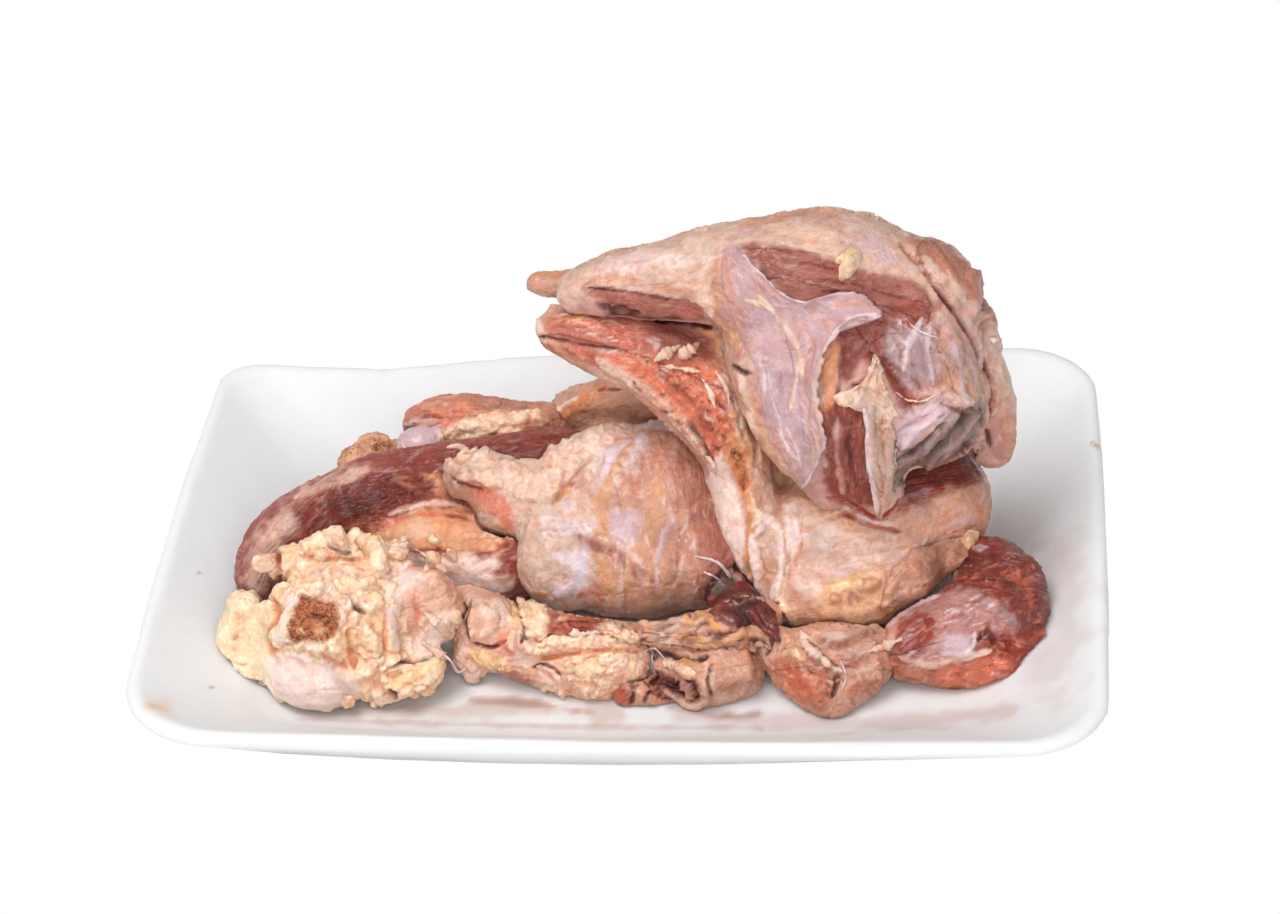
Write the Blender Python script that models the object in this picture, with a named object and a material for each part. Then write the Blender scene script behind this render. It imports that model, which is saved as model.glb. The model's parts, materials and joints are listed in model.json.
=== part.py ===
"""Raw meat and bone cuts on a white foam tray.

Metres, +Z up. The origin is the middle of the tray's underside, +X runs along the tray's long side and
-Y is its front. The cuts are written in millimetres: each one is a bundle of rounded lobes and bending
limbs that grow together into one body, the way muscle, fat and bone do, and is then trimmed so that it
lies against the tray and the cuts below it.
"""

import math
import random

import bmesh
import bpy
import numpy as np
from mathutils import Euler, Vector
from mathutils.bvhtree import BVHTree

MM = 0.001

# Foam tray, in millimetres
RIM_LENGTH = 240.0
RIM_DEPTH = 170.0
RIM_HEIGHT = 22.0
RIM_CORNERS = (20.0, 9.0, 22.5, 19.0)
SIDE_BOW = 1.75
FRONT_BOW = 2.2
BASE_FRONT_BOW = 6.0
FOAM = 3.2
BASE_INSET = 25.0
BASE_CORNER = 13.0
FLOOR_INSET = 36.0
LIP_ROUND = 2.1
BASE_ROUND = 5.0
FLOOR_ROUND = 16.0
RIM_TWIST = 1.7
RIM_SAG = 3.6
SAG_AT = (-75.0, 84.0)
SAG_REACH = 30.0
CORNER_STEPS = 8
SIDE_STEPS = 6

# How the cuts are made, in millimetres: GRAIN is the finest step of a fused surface, CONTACT_GAP keeps
# touching cuts apart, and HEAP_PLACE is where the heap's own origin lies on the tray
GRAIN = 1.6
CONTACT_GAP = 0.45
HEAP_PLACE = Vector((0.0, -9.0, -1.0))
SOFTENING = 3
SHARP_ANGLE = 50


def clear_scene():
    for old in list(bpy.data.objects):
        bpy.data.objects.remove(old)


def finish_of(name, colour, roughness):
    """A Principled material with a linear colour."""
    made = bpy.data.materials.new(name)
    made.use_nodes = True
    shader = made.node_tree.nodes["Principled BSDF"]
    shader.inputs["Base Color"].default_value = (*colour, 1.0)
    shader.inputs["Roughness"].default_value = roughness
    shader.inputs["Metallic"].default_value = 0.0
    return made


# Tray


def corner_points(corner, side_x, side_y, start, half_x, half_y):
    """Points round one corner of a rectangle, from the angle start on."""
    centre = Vector((side_x * (half_x - corner), side_y * (half_y - corner)))
    angles = [math.radians(start + 90 * step / CORNER_STEPS) for step in range(CORNER_STEPS + 1)]
    return [centre + corner * Vector((math.cos(angle), math.sin(angle))) for angle in angles]


def warped_height(x, y, height, half_x, half_y):
    """The rim is a little twisted and sags near its back left corner; the floor stays flat."""
    share = (height / RIM_HEIGHT) ** 2
    distance = math.hypot(x - SAG_AT[0], y - SAG_AT[1])
    sag = RIM_SAG * math.exp(-((distance / SAG_REACH) ** 2))
    return height + share * (RIM_TWIST * (x / half_x) * (y / half_y) - sag)


def tray_ring(inset, height):
    """Points of a rounded, slightly bowed rectangle, inset from the rim's outline."""
    half_x = RIM_LENGTH / 2 - inset
    half_y = RIM_DEPTH / 2 - inset
    share = min(1.0, inset / BASE_INSET)
    front_bow = FRONT_BOW + (BASE_FRONT_BOW - FRONT_BOW) * share
    quarters = ((1, 1, 0), (-1, 1, 90), (-1, -1, 180), (1, -1, 270))
    corners = []
    for radius, (side_x, side_y, start) in zip(RIM_CORNERS, quarters):
        corner = radius + (BASE_CORNER - radius) * share
        corners.append(corner_points(corner, side_x, side_y, start, half_x, half_y))
    points = []
    for index, corner in enumerate(corners):
        begin = corner[-1]
        end = corners[(index + 1) % 4][0]
        points += corner + [begin.lerp(end, step / SIDE_STEPS) for step in range(1, SIDE_STEPS)]
    bowed = []
    for x, y in points:
        bow_x = SIDE_BOW * max(0.0, 1 - (y / half_y) ** 2) * (abs(x) / half_x) ** 4
        bow_y = max(0.0, 1 - (x / half_x) ** 2) * (abs(y) / half_y) ** 4
        bow_y *= front_bow if y < 0 else FRONT_BOW
        z = warped_height(x, y, height, half_x, half_y)
        bowed.append(Vector((x + math.copysign(bow_x, x), y + math.copysign(bow_y, y), z)))
    return bowed


def arc(centre, radius, start, stop, steps):
    """Points of an arc in the (inset, height) plane, angles in degrees."""
    angles = [math.radians(start + (stop - start) * step / steps) for step in range(steps + 1)]
    return [(centre[0] + radius * math.cos(a), centre[1] + radius * math.sin(a)) for a in angles]


def tray_profile():
    """(inset, height) from the underside's edge, up the outside, over the lip and down to the floor."""
    base_edge = arc((BASE_INSET, BASE_ROUND), BASE_ROUND, 270, 220, 3)
    lip = arc((LIP_ROUND, RIM_HEIGHT - LIP_ROUND), LIP_ROUND, 200, 60, 5)
    inner_fillet = arc((FLOOR_INSET, FOAM + FLOOR_ROUND), FLOOR_ROUND, 228, 270, 5)
    return base_edge + lip + inner_fillet


def build_tray(finish):
    rings = [tray_ring(inset, height) for inset, height in tray_profile()]
    mesh = bmesh.new()
    rows = [[mesh.verts.new(point * MM) for point in ring] for ring in rings]
    count = len(rows[0])
    for lower, upper in zip(rows, rows[1:]):
        for i in range(count):
            j = (i + 1) % count
            mesh.faces.new((lower[i], lower[j], upper[j], upper[i]))
    mesh.faces.new(reversed(rows[0]))
    mesh.faces.new(rows[-1])
    bmesh.ops.recalc_face_normals(mesh, faces=mesh.faces)
    data = bpy.data.meshes.new("foam_tray")
    mesh.to_mesh(data)
    mesh.free()
    tray = bpy.data.objects.new("foam_tray", data)
    bpy.context.scene.collection.objects.link(tray)
    data.materials.append(finish)
    data.shade_smooth()
    data.set_sharp_from_angle(angle=math.radians(SHARP_ANGLE))
    return tray


# Cuts of meat


def lobe(centre, radii, turn=(0, 0, 0)):
    """One rounded mass: an ellipsoid, sizes in millimetres, turned in degrees."""
    rotation = Euler([math.radians(t) for t in turn]).to_matrix()
    return [(Vector(centre), Vector(radii), rotation)]


def limb(*stations, flat=1.0, lean=(0, 0, 0)):
    """A bending run of masses through (x, y, z, radius) stations; flat squashes it along its own Z."""
    rotation = Euler([math.radians(t) for t in lean]).to_matrix()
    ends = [stations[0], *stations, stations[-1]]
    masses = []
    for a, b, c, d in zip(ends, ends[1:], ends[2:], ends[3:]):
        gap = math.dist(b[:3], c[:3])
        steps = max(2, int(gap / (0.35 * min(b[3], c[3]))))
        for step in range(steps + 1):
            t = step / steps
            x, y, z, radius = [
                0.5 * (2 * q + (r - p) * t + (2 * p - 5 * q + 4 * r - s) * t**2
                       + (3 * q - p - 3 * r + s) * t**3)
                for p, q, r, s in zip(a, b, c, d)
            ]
            masses.append((Vector((x, y, z)), Vector((radius, radius, radius * flat)), rotation))
    return masses


def curl(centre, radius, length, wall, opening, turn):
    """A rolled strip of skin: masses set round an open ring, along its axis."""
    rotation = Euler([math.radians(t) for t in turn]).to_matrix()
    masses = []
    ring_steps = 22
    row_steps = max(2, int(length / (wall * 0.5)))
    for row in range(row_steps + 1):
        along = (row / row_steps - 0.5) * length
        for step in range(ring_steps + 1):
            angle = math.radians(opening[0] + (opening[1] - opening[0]) * step / ring_steps)
            reach = radius * (1 + 0.14 * step / ring_steps)
            place = Vector((along, reach * math.cos(angle), reach * math.sin(angle)))
            masses.append((Vector(centre) + rotation @ place, Vector((wall, wall, wall)) / 2, rotation))
    return masses


def nubs(centre, reach, size, count, seed):
    """Small lumps of fat or crumbled tissue, scattered over a patch by a seeded rule."""
    rule = random.Random(seed)
    masses = []
    for _ in range(count):
        way = Vector([rule.uniform(-1, 1) for _ in range(3)])
        place = Vector(centre) + Vector([w * r for w, r in zip(way, reach)])
        radius = size * rule.uniform(0.65, 1.3)
        masses += lobe(place, (radius * rule.uniform(0.8, 1.4), radius, radius * 0.85),
                       [rule.uniform(0, 180) for _ in range(3)])
    return masses


def mesh_of_masses(masses):
    """All the masses of a cut in one mesh, still separate bodies."""
    ball = bmesh.new()
    bmesh.ops.create_icosphere(ball, subdivisions=3, radius=1.0)
    corners = np.array([v.co for v in ball.verts])
    faces = np.array([[v.index for v in f.verts] for f in ball.faces])
    ball.free()
    points = []
    triangles = []
    for number, (centre, radii, rotation) in enumerate(masses):
        placed = (corners * np.array(radii)) @ np.array(rotation).T + np.array(centre + HEAP_PLACE)
        points.append(placed * MM)
        triangles.append(faces + number * len(corners))
    mesh = bpy.data.meshes.new("masses")
    mesh.from_pydata(np.concatenate(points).tolist(), [], np.concatenate(triangles).tolist())
    return mesh


def evaluated_copy(obj):
    """The object's mesh with its modifiers applied."""
    graph = bpy.context.evaluated_depsgraph_get()
    return bpy.data.meshes.new_from_object(obj.evaluated_get(graph))


def largest_body(mesh):
    """Drops every loose scrap of a mesh and keeps its largest body."""
    shape = bmesh.new()
    shape.from_mesh(mesh)
    left = set(shape.verts)
    bodies = []
    while left:
        front = [left.pop()]
        body = set(front)
        while front:
            vertex = front.pop()
            for edge in vertex.link_edges:
                other = edge.other_vert(vertex)
                if other in left:
                    left.remove(other)
                    body.add(other)
                    front.append(other)
        bodies.append(body)
    bodies.sort(key=len)
    scraps = [vertex for body in bodies[:-1] for vertex in body]
    if scraps:
        bmesh.ops.delete(shape, geom=scraps, context="VERTS")
        shape.to_mesh(mesh)
    shape.free()


def grown_cut(name, masses, triangles, finish):
    """One cut: its masses fused, softened and thinned out to a number of triangles."""
    cut = bpy.data.objects.new(name, mesh_of_masses(masses))
    bpy.context.scene.collection.objects.link(cut)
    fuse = cut.modifiers.new("fuse", "REMESH")
    fuse.mode = "VOXEL"
    fuse.voxel_size = GRAIN * MM
    soften = cut.modifiers.new("soften", "SMOOTH")
    soften.factor = 0.5
    soften.iterations = SOFTENING
    fused = evaluated_copy(cut)
    largest_body(fused)
    cut.modifiers.clear()
    cut.data = fused
    thin = cut.modifiers.new("thin", "DECIMATE")
    thin.ratio = min(1.0, triangles / (2 * len(fused.polygons)))
    cut.data = evaluated_copy(cut)
    cut.modifiers.clear()
    cut.data.materials.clear()
    cut.data.materials.append(finish)
    cut.data.shade_smooth()
    return cut


def swollen(obj, gap):
    """A hidden copy of a body, grown by the contact gap, that trims its neighbours."""
    mesh = obj.data.copy()
    normals = [vertex.normal.copy() for vertex in mesh.vertices]
    for vertex, normal in zip(mesh.vertices, normals):
        vertex.co += normal * gap * MM
    cutter = bpy.data.objects.new(obj.name + "_trim", mesh)
    cutter.hide_render = True
    cutter.display_type = "WIRE"
    bpy.context.scene.collection.objects.link(cutter)
    return cutter


def overlaps(first, second):
    trees = []
    for obj in (first, second):
        trees.append(BVHTree.FromPolygons([v.co for v in obj.data.vertices],
                                          [p.vertices for p in obj.data.polygons]))
    return bool(trees[0].overlap(trees[1]))


def trim(cut, neighbours):
    """Cuts away what would run into the bodies that this one lies on."""
    for neighbour in neighbours:
        cutter = swollen(neighbour, CONTACT_GAP)
        if overlaps(cut, cutter):
            carve = cut.modifiers.new("lie_on_" + neighbour.name, "BOOLEAN")
            carve.operation = "DIFFERENCE"
            carve.object = cutter
            carve.solver = "EXACT"
            carved = evaluated_copy(cut)
            cut.modifiers.clear()
            cut.data = carved
            largest_body(cut.data)
        bpy.data.objects.remove(cutter)


def knuckle_joint():
    """Front left: a sawn bone end in knobbly yellow fat, with its white cartilage on the floor."""
    body = lobe((-76, -28, 22), (16, 14, 14))
    body += lobe((-78, -36, 11), (13, 10, 8.5), (0, 0, -8))
    body += lobe((-78, -35, 23), (9, 6, 8), (0, 0, -10))
    body += limb((-97, -20, 21, 5), (-99, -25, 14, 6.5), (-95, -30, 7, 5))
    body += limb((-64, -27, 27, 7), (-62, -33, 18, 7.5), (-62, -36, 9, 6))
    body += limb((-88, -12, 29, 4.5), (-74, -13, 33, 6), (-64, -16, 32, 5.5))
    body += lobe((-50, -22, 23), (10.5, 8, 11.5), (0, 12, -14))
    body += lobe((-60, -30, 13), (9, 7, 8))
    body += lobe((-90, -27, 13), (8, 8, 8))
    body += limb((-62, -38, 10, 4.5), (-53, -37, 10, 5), (-47, -34, 14, 4))
    body += nubs((-70, -17, 33), (13, 5, 4), 3.3, 18, 11)
    body += nubs((-90, -26, 19), (6, 5, 10), 2.9, 10, 12)
    body += nubs((-61, -33, 19), (5, 4, 9), 2.7, 12, 13)
    return body


def shoulder_strip():
    """Left: the long dark muscle that arches over the knuckle, and the tan plate of bone under it."""
    body = limb((-97, -2, 13, 7), (-95, 1, 20, 10), (-84, 10, 26, 12), (-66, 18, 30, 12),
                (-46, 24, 34, 9), (-18, 30, 35, 8))
    body += lobe((-48, 8, 22), (24, 13, 11), (24, 0, 0))
    body += lobe((-62, 20, 16), (28, 22, 13))
    body += lobe((-32, 4, 20), (14, 12, 12))
    body += lobe((-38, 18, 15), (26, 24, 14))
    return body


def back_joint():
    """Left, behind: a sawn spongy bone, a shiny knob, a red muscle and a strip of fat."""
    body = lobe((-71, 33, 31), (8, 7, 6), (0, -20, 20))
    body += lobe((-58, 36, 34), (8, 6, 5.5), (0, -15, 10))
    body += limb((-60, 50, 33, 5), (-50, 49, 36, 6), (-36, 48, 34, 7), (-18, 50, 31, 7))
    body += limb((-50, 42, 35, 4), (-38, 42, 36, 6), (-26, 44, 34, 5.5))
    body += lobe((-46, 46, 18), (28, 15, 15))
    return body


def rib_plate():
    """Behind the thigh: a smooth tan plate that rises under the overhanging jaw."""
    body = limb((-24, 50, 33, 6), (-11, 47, 41, 7), (6, 44, 44, 9), (24, 42, 44, 10), flat=0.8)
    body += lobe((6, 44, 24), (26, 12, 20))
    return body


def thigh():
    """Middle: the big rounded muscle in its skin, with the fat flap on its left."""
    body = lobe((4, 9, 29), (24, 18, 23), (-34, 0, 0))
    body += lobe((9, 16, 38), (15, 13, 13), (-34, 0, 12))
    body += lobe((-16, -4, 24), (12, 11, 13), (-20, 0, 0))
    body += lobe((17, -2, 22), (13, 13, 13))
    body += lobe((2, -6, 23), (18, 12, 13))
    body += limb((-4, 16, 42, 9), (-14, 11, 40, 8), (-20, 5, 34, 8))
    body += limb((-18, 9, 37, 7), (-30, 11, 37.5, 7), (-41, 14, 38.5, 6), flat=0.8)
    body += lobe((-29, 6, 33), (11, 7, 7), (24, 0, 0))
    body += lobe((-40, 13, 37), (8.5, 6.5, 5))
    body += nubs((-36, 11, 39), (11, 5, 2.5), 3.0, 14, 21)
    body += lobe((2, 6, 15), (22, 18, 12))
    return body


def gristle_knot():
    """Front middle: a knobbly fold of fat and gristle that hangs out from under the thigh."""
    body = limb((-41, -16, 17, 6.5), (-33, -22, 14, 9), (-22, -27, 11, 8), (-10, -30, 11, 8.5),
                (0, -30, 12, 8))
    body += lobe((-35, -22, 18), (8, 8, 7))
    body += limb((-23, -27, 19, 4), (-11, -30, 18, 4.5), (1, -30, 16, 4.5))
    body += lobe((-7, -32, 8), (9, 6, 6.5), (0, 0, -12))
    body += nubs((-13, -30, 15), (14, 4, 5), 2.6, 18, 31)
    body += nubs((-34, -24, 13), (8, 5, 6), 2.6, 11, 32)
    return body


def skin_roll():
    """Front: a rolled strip of skin with an orange scrap, and the torn skin above it."""
    body = curl((23, -32, 9), 6.6, 16.0, 3.6, (-150, 160), (0, -8, 22))
    body += limb((22, -32, 9, 5), (25, -31, 9, 5.5), (30, -29, 8.5, 6))
    body += limb((3, -36, 6, 4.2), (9, -35, 6, 4.5), (15, -34, 6, 4.2))
    body += limb((8, -28, 13, 4.5), (18, -26, 17, 5), (30, -22, 19, 5), (36, -20, 18, 5))
    body += limb((1, -37, 6, 3.4), (2, -36, 10, 3.0))
    body += nubs((20, -26, 18), (12, 4, 3), 2.5, 12, 41)
    return body


def rib_fold():
    """Right: the big folded rib piece, from its white cartilage rim up to the jaw that juts left."""
    body = limb((-15.5, 22, 77, 6.5), (-6, 19, 75.5, 8.5), (8, 16, 71, 10), (20, 12, 62, 11),
                (27, 10, 51, 10), (29, 7, 41, 8.5), (33, -1, 31, 8), (41, -9, 21, 8))
    body += lobe((58, 6, 27), (27, 17, 17), (0, -6, 14))
    body += lobe((78, 14, 29), (15, 15, 15))
    body += limb((44, -13, 19, 8), (57, -13, 18, 9), (70, -7, 22, 9))
    body += lobe((58, 28, 38), (32, 20, 34))
    body += lobe((34, 26, 55), (16, 14, 22))
    body += limb((-8, 29, 80, 5), (10, 30, 78, 8), (26, 28, 73, 11))
    body += lobe((56, 24, 14), (34, 26, 12))
    return body


def neck_scrap():
    """Front right: a ragged scrap with a pointed end, out from under the rib piece."""
    body = limb((36, -25, 15, 5), (43, -31, 12, 6.5), (50, -38, 8, 6), (53, -41, 6, 4.5))
    body += limb((64, -26, 12, 6), (61, -32, 10, 6), (55, -38, 7, 5))
    body += lobe((52, -28, 13), (13, 8, 8))
    body += nubs((52, -35, 10), (9, 4, 4), 2.5, 8, 51)
    return body


def leg_end():
    """Right: a dark leg muscle, thick at the right and drawn to a pale sinew at the left."""
    body = limb((66, -26, 11, 5.5), (73, -25, 12, 9), (84, -21, 13, 12), (93, -14, 15, 13.5), flat=0.95)
    body += lobe((92, -1, 19), (10, 9, 8), (0, 14, 0))
    body += lobe((96, -9, 18), (10, 11, 10))
    body += lobe((86, -27, 9), (15, 7, 6.5), (0, 0, 10))
    return body


def top_muscle():
    """On top: the large dark muscle in torn skin, with an upper lip that runs out to the left."""
    body = lobe((58, 15, 76), (33, 23, 25))
    body += lobe((50, 20, 92.5), (31, 20, 18))
    body += lobe((70, 20, 88), (20, 18, 16))
    body += limb((36, 22, 94.5, 14), (14, 22, 92, 11.5), (-2, 22, 90, 9), (-11, 22, 88, 6.5))
    body += limb((54, 0, 68, 13), (60, -3, 55, 11), (64, -3, 45, 7.5), (64, -3, 40, 5))
    body += lobe((76, 6, 63), (16, 15, 16))
    body += limb((72, 28, 87, 10), (82, 27, 78, 8.5), (88, 22, 67, 7.5), (92.5, 17, 56, 6.5),
                 (92.5, 13, 47, 6.5))
    body += limb((36, 2, 77, 9), (42, -3, 62, 7.5), (50, -4, 50, 6), (52, -4, 44, 4.5))
    return body


def tail_tip():
    """A small orange end of cartilage behind the upper lip."""
    return limb((-22, 38, 80.5, 4), (-16, 37, 81, 4.6), (-6, 34, 83, 5), flat=0.8)


CUTS = (
    (knuckle_joint, "fat", (0.78, 0.58, 0.36), 900),
    (gristle_knot, "fat", (0.78, 0.58, 0.36), 900),
    (skin_roll, "skin", (0.62, 0.34, 0.22), 900),
    (neck_scrap, "skin", (0.62, 0.34, 0.22), 600),
    (leg_end, "dark_meat", (0.36, 0.10, 0.07), 600),
    (thigh, "skin", (0.62, 0.34, 0.22), 1000),
    (shoulder_strip, "dark_meat", (0.36, 0.10, 0.07), 800),
    (back_joint, "dark_meat", (0.36, 0.10, 0.07), 700),
    (rib_fold, "skin", (0.62, 0.34, 0.22), 1200),
    (rib_plate, "skin", (0.62, 0.34, 0.22), 400),
    (top_muscle, "dark_meat", (0.36, 0.10, 0.07), 1200),
    (tail_tip, "skin", (0.62, 0.34, 0.22), 200),
)


def main():
    clear_scene()
    bodies = [build_tray(finish_of("foam", (0.86, 0.86, 0.85), 0.7))]
    finishes = {}
    for shape, finish_name, colour, triangles in CUTS:
        if finish_name not in finishes:
            finishes[finish_name] = finish_of(finish_name, colour, 0.45)
        cut = grown_cut(shape.__name__, shape(), triangles, finishes[finish_name])
        trim(cut, bodies)
        bodies.append(cut)


main()
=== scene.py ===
import json
import math

import bmesh
import bpy
import numpy as np
from mathutils import Matrix, Vector
from mathutils.bvhtree import BVHTree

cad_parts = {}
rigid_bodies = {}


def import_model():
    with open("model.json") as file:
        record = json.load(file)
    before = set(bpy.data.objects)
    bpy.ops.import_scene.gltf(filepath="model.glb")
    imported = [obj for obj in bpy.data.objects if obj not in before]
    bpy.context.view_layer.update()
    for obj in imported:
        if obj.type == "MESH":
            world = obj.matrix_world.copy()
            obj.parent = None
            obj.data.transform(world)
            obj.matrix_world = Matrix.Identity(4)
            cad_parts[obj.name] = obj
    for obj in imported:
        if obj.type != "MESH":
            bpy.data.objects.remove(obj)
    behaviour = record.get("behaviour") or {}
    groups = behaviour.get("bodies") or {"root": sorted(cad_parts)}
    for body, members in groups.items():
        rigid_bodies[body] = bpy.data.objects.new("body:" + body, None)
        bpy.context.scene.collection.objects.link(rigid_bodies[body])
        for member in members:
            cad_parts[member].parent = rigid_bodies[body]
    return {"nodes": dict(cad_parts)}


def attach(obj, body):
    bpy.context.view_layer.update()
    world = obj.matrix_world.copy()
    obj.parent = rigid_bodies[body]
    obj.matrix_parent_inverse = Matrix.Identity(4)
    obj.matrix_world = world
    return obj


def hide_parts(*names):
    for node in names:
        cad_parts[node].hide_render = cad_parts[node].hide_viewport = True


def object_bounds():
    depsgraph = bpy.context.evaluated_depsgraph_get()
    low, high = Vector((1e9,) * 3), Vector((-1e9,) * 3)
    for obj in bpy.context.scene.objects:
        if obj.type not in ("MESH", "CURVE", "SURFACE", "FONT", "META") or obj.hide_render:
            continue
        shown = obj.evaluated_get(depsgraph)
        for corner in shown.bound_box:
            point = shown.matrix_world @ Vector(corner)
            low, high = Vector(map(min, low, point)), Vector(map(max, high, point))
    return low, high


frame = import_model()
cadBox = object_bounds()
mm = 0.001
print("frame loaded:", len(frame["nodes"]), "nodes")

# The camera stands where the photograph was taken from
cameraSetup = {
    "height angle": 34.482,
    "side angle": 6.293,
    "roll": -3.775,
    "distance": 1.0397,
    "look at": (-0.0005, 0.0373, 0.020),
    "focal pixels": 3919.8,
    "picture size": (1280, 914),
    "sensor": 36.0,
}


def cameraAxes():
    up, side, roll = [math.radians(cameraSetup[k]) for k in ("height angle", "side angle", "roll")]
    back = Vector((math.sin(side) * math.cos(up), -math.cos(side) * math.cos(up), math.sin(up)))
    right = (-back).cross(Vector((0, 0, 1))).normalized()
    level = right.cross(-back)
    turnedRight = right * math.cos(roll) + level * math.sin(roll)
    turnedUp = level * math.cos(roll) - right * math.sin(roll)
    return turnedRight, turnedUp, back, Vector(cameraSetup["look at"]) + back * cameraSetup["distance"]


viewRight, viewUp, viewBack, viewPoint = cameraAxes()
pictureWide, pictureHigh = cameraSetup["picture size"]


def addCamera():
    data = bpy.data.cameras.new("camera")
    data.sensor_width = cameraSetup["sensor"]
    data.lens = cameraSetup["focal pixels"] * cameraSetup["sensor"] / pictureWide
    data.clip_end = 20
    camera = bpy.data.objects.new("camera", data)
    place = Matrix((viewRight, viewUp, viewBack)).transposed().to_4x4()
    place.translation = viewPoint
    camera.matrix_world = place
    bpy.context.scene.collection.objects.link(camera)
    bpy.context.scene.camera = camera


def photoPlace(points):  # where points fall in the 1280 x 914 picture, and their distance
    away = points - np.array(viewPoint)
    depth = -away @ np.array(viewBack)
    focal = cameraSetup["focal pixels"]
    u = pictureWide / 2 + focal * (away @ np.array(viewRight)) / depth
    v = pictureHigh / 2 - focal * (away @ np.array(viewUp)) / depth
    return np.stack([u, v], 1), depth


def photoRay(u, v):
    focal = cameraSetup["focal pixels"]
    way = -viewBack + viewRight * ((u - pictureWide / 2) / focal) + viewUp * ((pictureHigh / 2 - v) / focal)
    return way.normalized()


# Floor and light
stageSetup = {
    "floor size": 6.0,
    "floor colour": (0.88, 0.88, 0.88),
    "floor glow": 1.0,
    "sky": 0.40,
    "key": {"place": (-0.45, -0.25, 1.35), "size": 0.8, "power": 14.5},
    "fill": {"place": (0.2, -1.25, 0.7), "size": 0.9, "power": 10.0},
}


def addStage():
    size = stageSetup["floor size"] / 2
    data = bpy.data.meshes.new("floor")
    corners = [(-size, -size, 0), (size, -size, 0), (size, size, 0), (-size, size, 0)]
    data.from_pydata([(x, y, -0.0004) for x, y, z in corners], [], [(0, 1, 2, 3)])
    floor = bpy.data.objects.new("floor", data)
    bpy.context.scene.collection.objects.link(floor)
    paint = bpy.data.materials.new("pale floor")
    paint.use_nodes = True
    tree = paint.node_tree
    shader = tree.nodes["Principled BSDF"]
    shader.inputs["Base Color"].default_value = (*stageSetup["floor colour"], 1)
    shader.inputs["Roughness"].default_value = 0.9
    shader.inputs["Specular IOR Level"].default_value = 0.1
    glow = tree.nodes.new("ShaderNodeEmission")
    glow.inputs["Strength"].default_value = stageSetup["floor glow"]
    choice = tree.nodes.new("ShaderNodeMixShader")
    tree.links.new(tree.nodes.new("ShaderNodeLightPath").outputs["Is Camera Ray"], choice.inputs[0])
    tree.links.new(shader.outputs[0], choice.inputs[1])
    tree.links.new(glow.outputs[0], choice.inputs[2])
    tree.links.new(choice.outputs[0], tree.nodes["Material Output"].inputs["Surface"])
    data.materials.append(paint)
    sky = bpy.data.worlds.new("soft sky")
    sky.use_nodes = True
    sky.node_tree.nodes["Background"].inputs["Color"].default_value = (1, 1, 1, 1)
    sky.node_tree.nodes["Background"].inputs["Strength"].default_value = stageSetup["sky"]
    bpy.context.scene.world = sky
    for name in ("key", "fill"):
        lamp = stageSetup[name]
        light = bpy.data.lights.new(name, "AREA")
        light.size = lamp["size"]
        light.energy = lamp["power"]
        holder = bpy.data.objects.new(name, light)
        holder.location = lamp["place"]
        towardLamp = Vector(lamp["place"]) - Vector((0, 0, 0.04))
        holder.rotation_euler = towardLamp.to_track_quat("Z", "Y").to_euler()
        bpy.context.scene.collection.objects.link(holder)
    bpy.context.scene.view_settings.view_transform = "Standard"


addCamera()
addStage()
print("camera, floor and light")

# Noise in space, for relief and for the wandering edges of colours
noiseRule = np.random.default_rng(20)
noiseSide = 48
noiseGrid = noiseRule.random((noiseSide, noiseSide, noiseSide))
lumpGrid = noiseRule.random((noiseSide, noiseSide, noiseSide, 3))


def softNoise(points, cell, shift=0.0):  # -1 to 1, one bump for each cell (millimetres)
    place = points / (cell * mm) + shift
    low = np.floor(place).astype(int)
    part = place - low
    part = part * part * (3 - 2 * part)
    total = np.zeros(len(points))
    for corner in range(8):
        step = np.array([corner & 1, corner >> 1 & 1, corner >> 2 & 1])
        weight = np.prod(np.where(step, part, 1 - part), axis=1)
        i, j, k = ((low + step) % noiseSide).T
        total += weight * noiseGrid[i, j, k]
    return total * 2 - 1


def roughNoise(points, cell, octaves=3, shift=0.0):
    total = np.zeros(len(points))
    for octave in range(octaves):
        total += softNoise(points, cell / 2**octave, shift + 11.3 * octave) / 1.8**octave
    return total


def lumpNoise(points, cell, shift=0.0, bend=0.0):  # rounded lumps (0 to 1), creases between them, own number
    place = points / (cell * mm) + shift
    if bend:
        pushes = [roughNoise(points, cell * 0.8, 3, shift + 3.1 * k) for k in range(3)]
        place = place + bend * np.stack(pushes, 1)
    low = np.floor(place).astype(int)
    nearest = np.full(len(points), 9.0)
    second = np.full(len(points), 9.0)
    own = np.zeros(len(points))
    for x in (-1, 0, 1):
        for y in (-1, 0, 1):
            for z in (-1, 0, 1):
                cellAt = low + (x, y, z)
                i, j, k = (cellAt % noiseSide).T
                centre = cellAt + 0.1 + 0.8 * lumpGrid[i, j, k]
                distance = np.sqrt(((place - centre) ** 2).sum(1))
                closer = distance < nearest
                second = np.where(closer, nearest, np.minimum(second, distance))
                own = np.where(closer, noiseGrid[i, j, k], own)
                nearest = np.minimum(nearest, distance)
    return np.clip(1 - nearest**2 / 0.8, 0, 1), 1 - smoothStep(0.0, 0.28, second - nearest), own


def thinLines(points, cell, width, shift):  # 1 along thin winding lines, 0 elsewhere
    bend = 0.5 * roughNoise(points, cell * 0.7, 2, shift + 2.3)
    level = softNoise(points, cell, shift) + 0.35 * softNoise(points, cell * 0.4, shift + 5.0) + 0.3 * bend
    return np.clip(1 - np.abs(level) / width, 0, 1)


def smoothStep(low, high, value):
    t = np.clip((value - low) / (high - low + 1e-9), 0, 1)
    return t * t * (3 - 2 * t)


def brightness(colour):  # a picture colour (0 to 255) as the linear value that materials take
    value = np.array(colour) / 255.0
    return np.where(value < 0.04045, value / 12.92, ((value + 0.055) / 1.055) ** 2.4)


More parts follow.
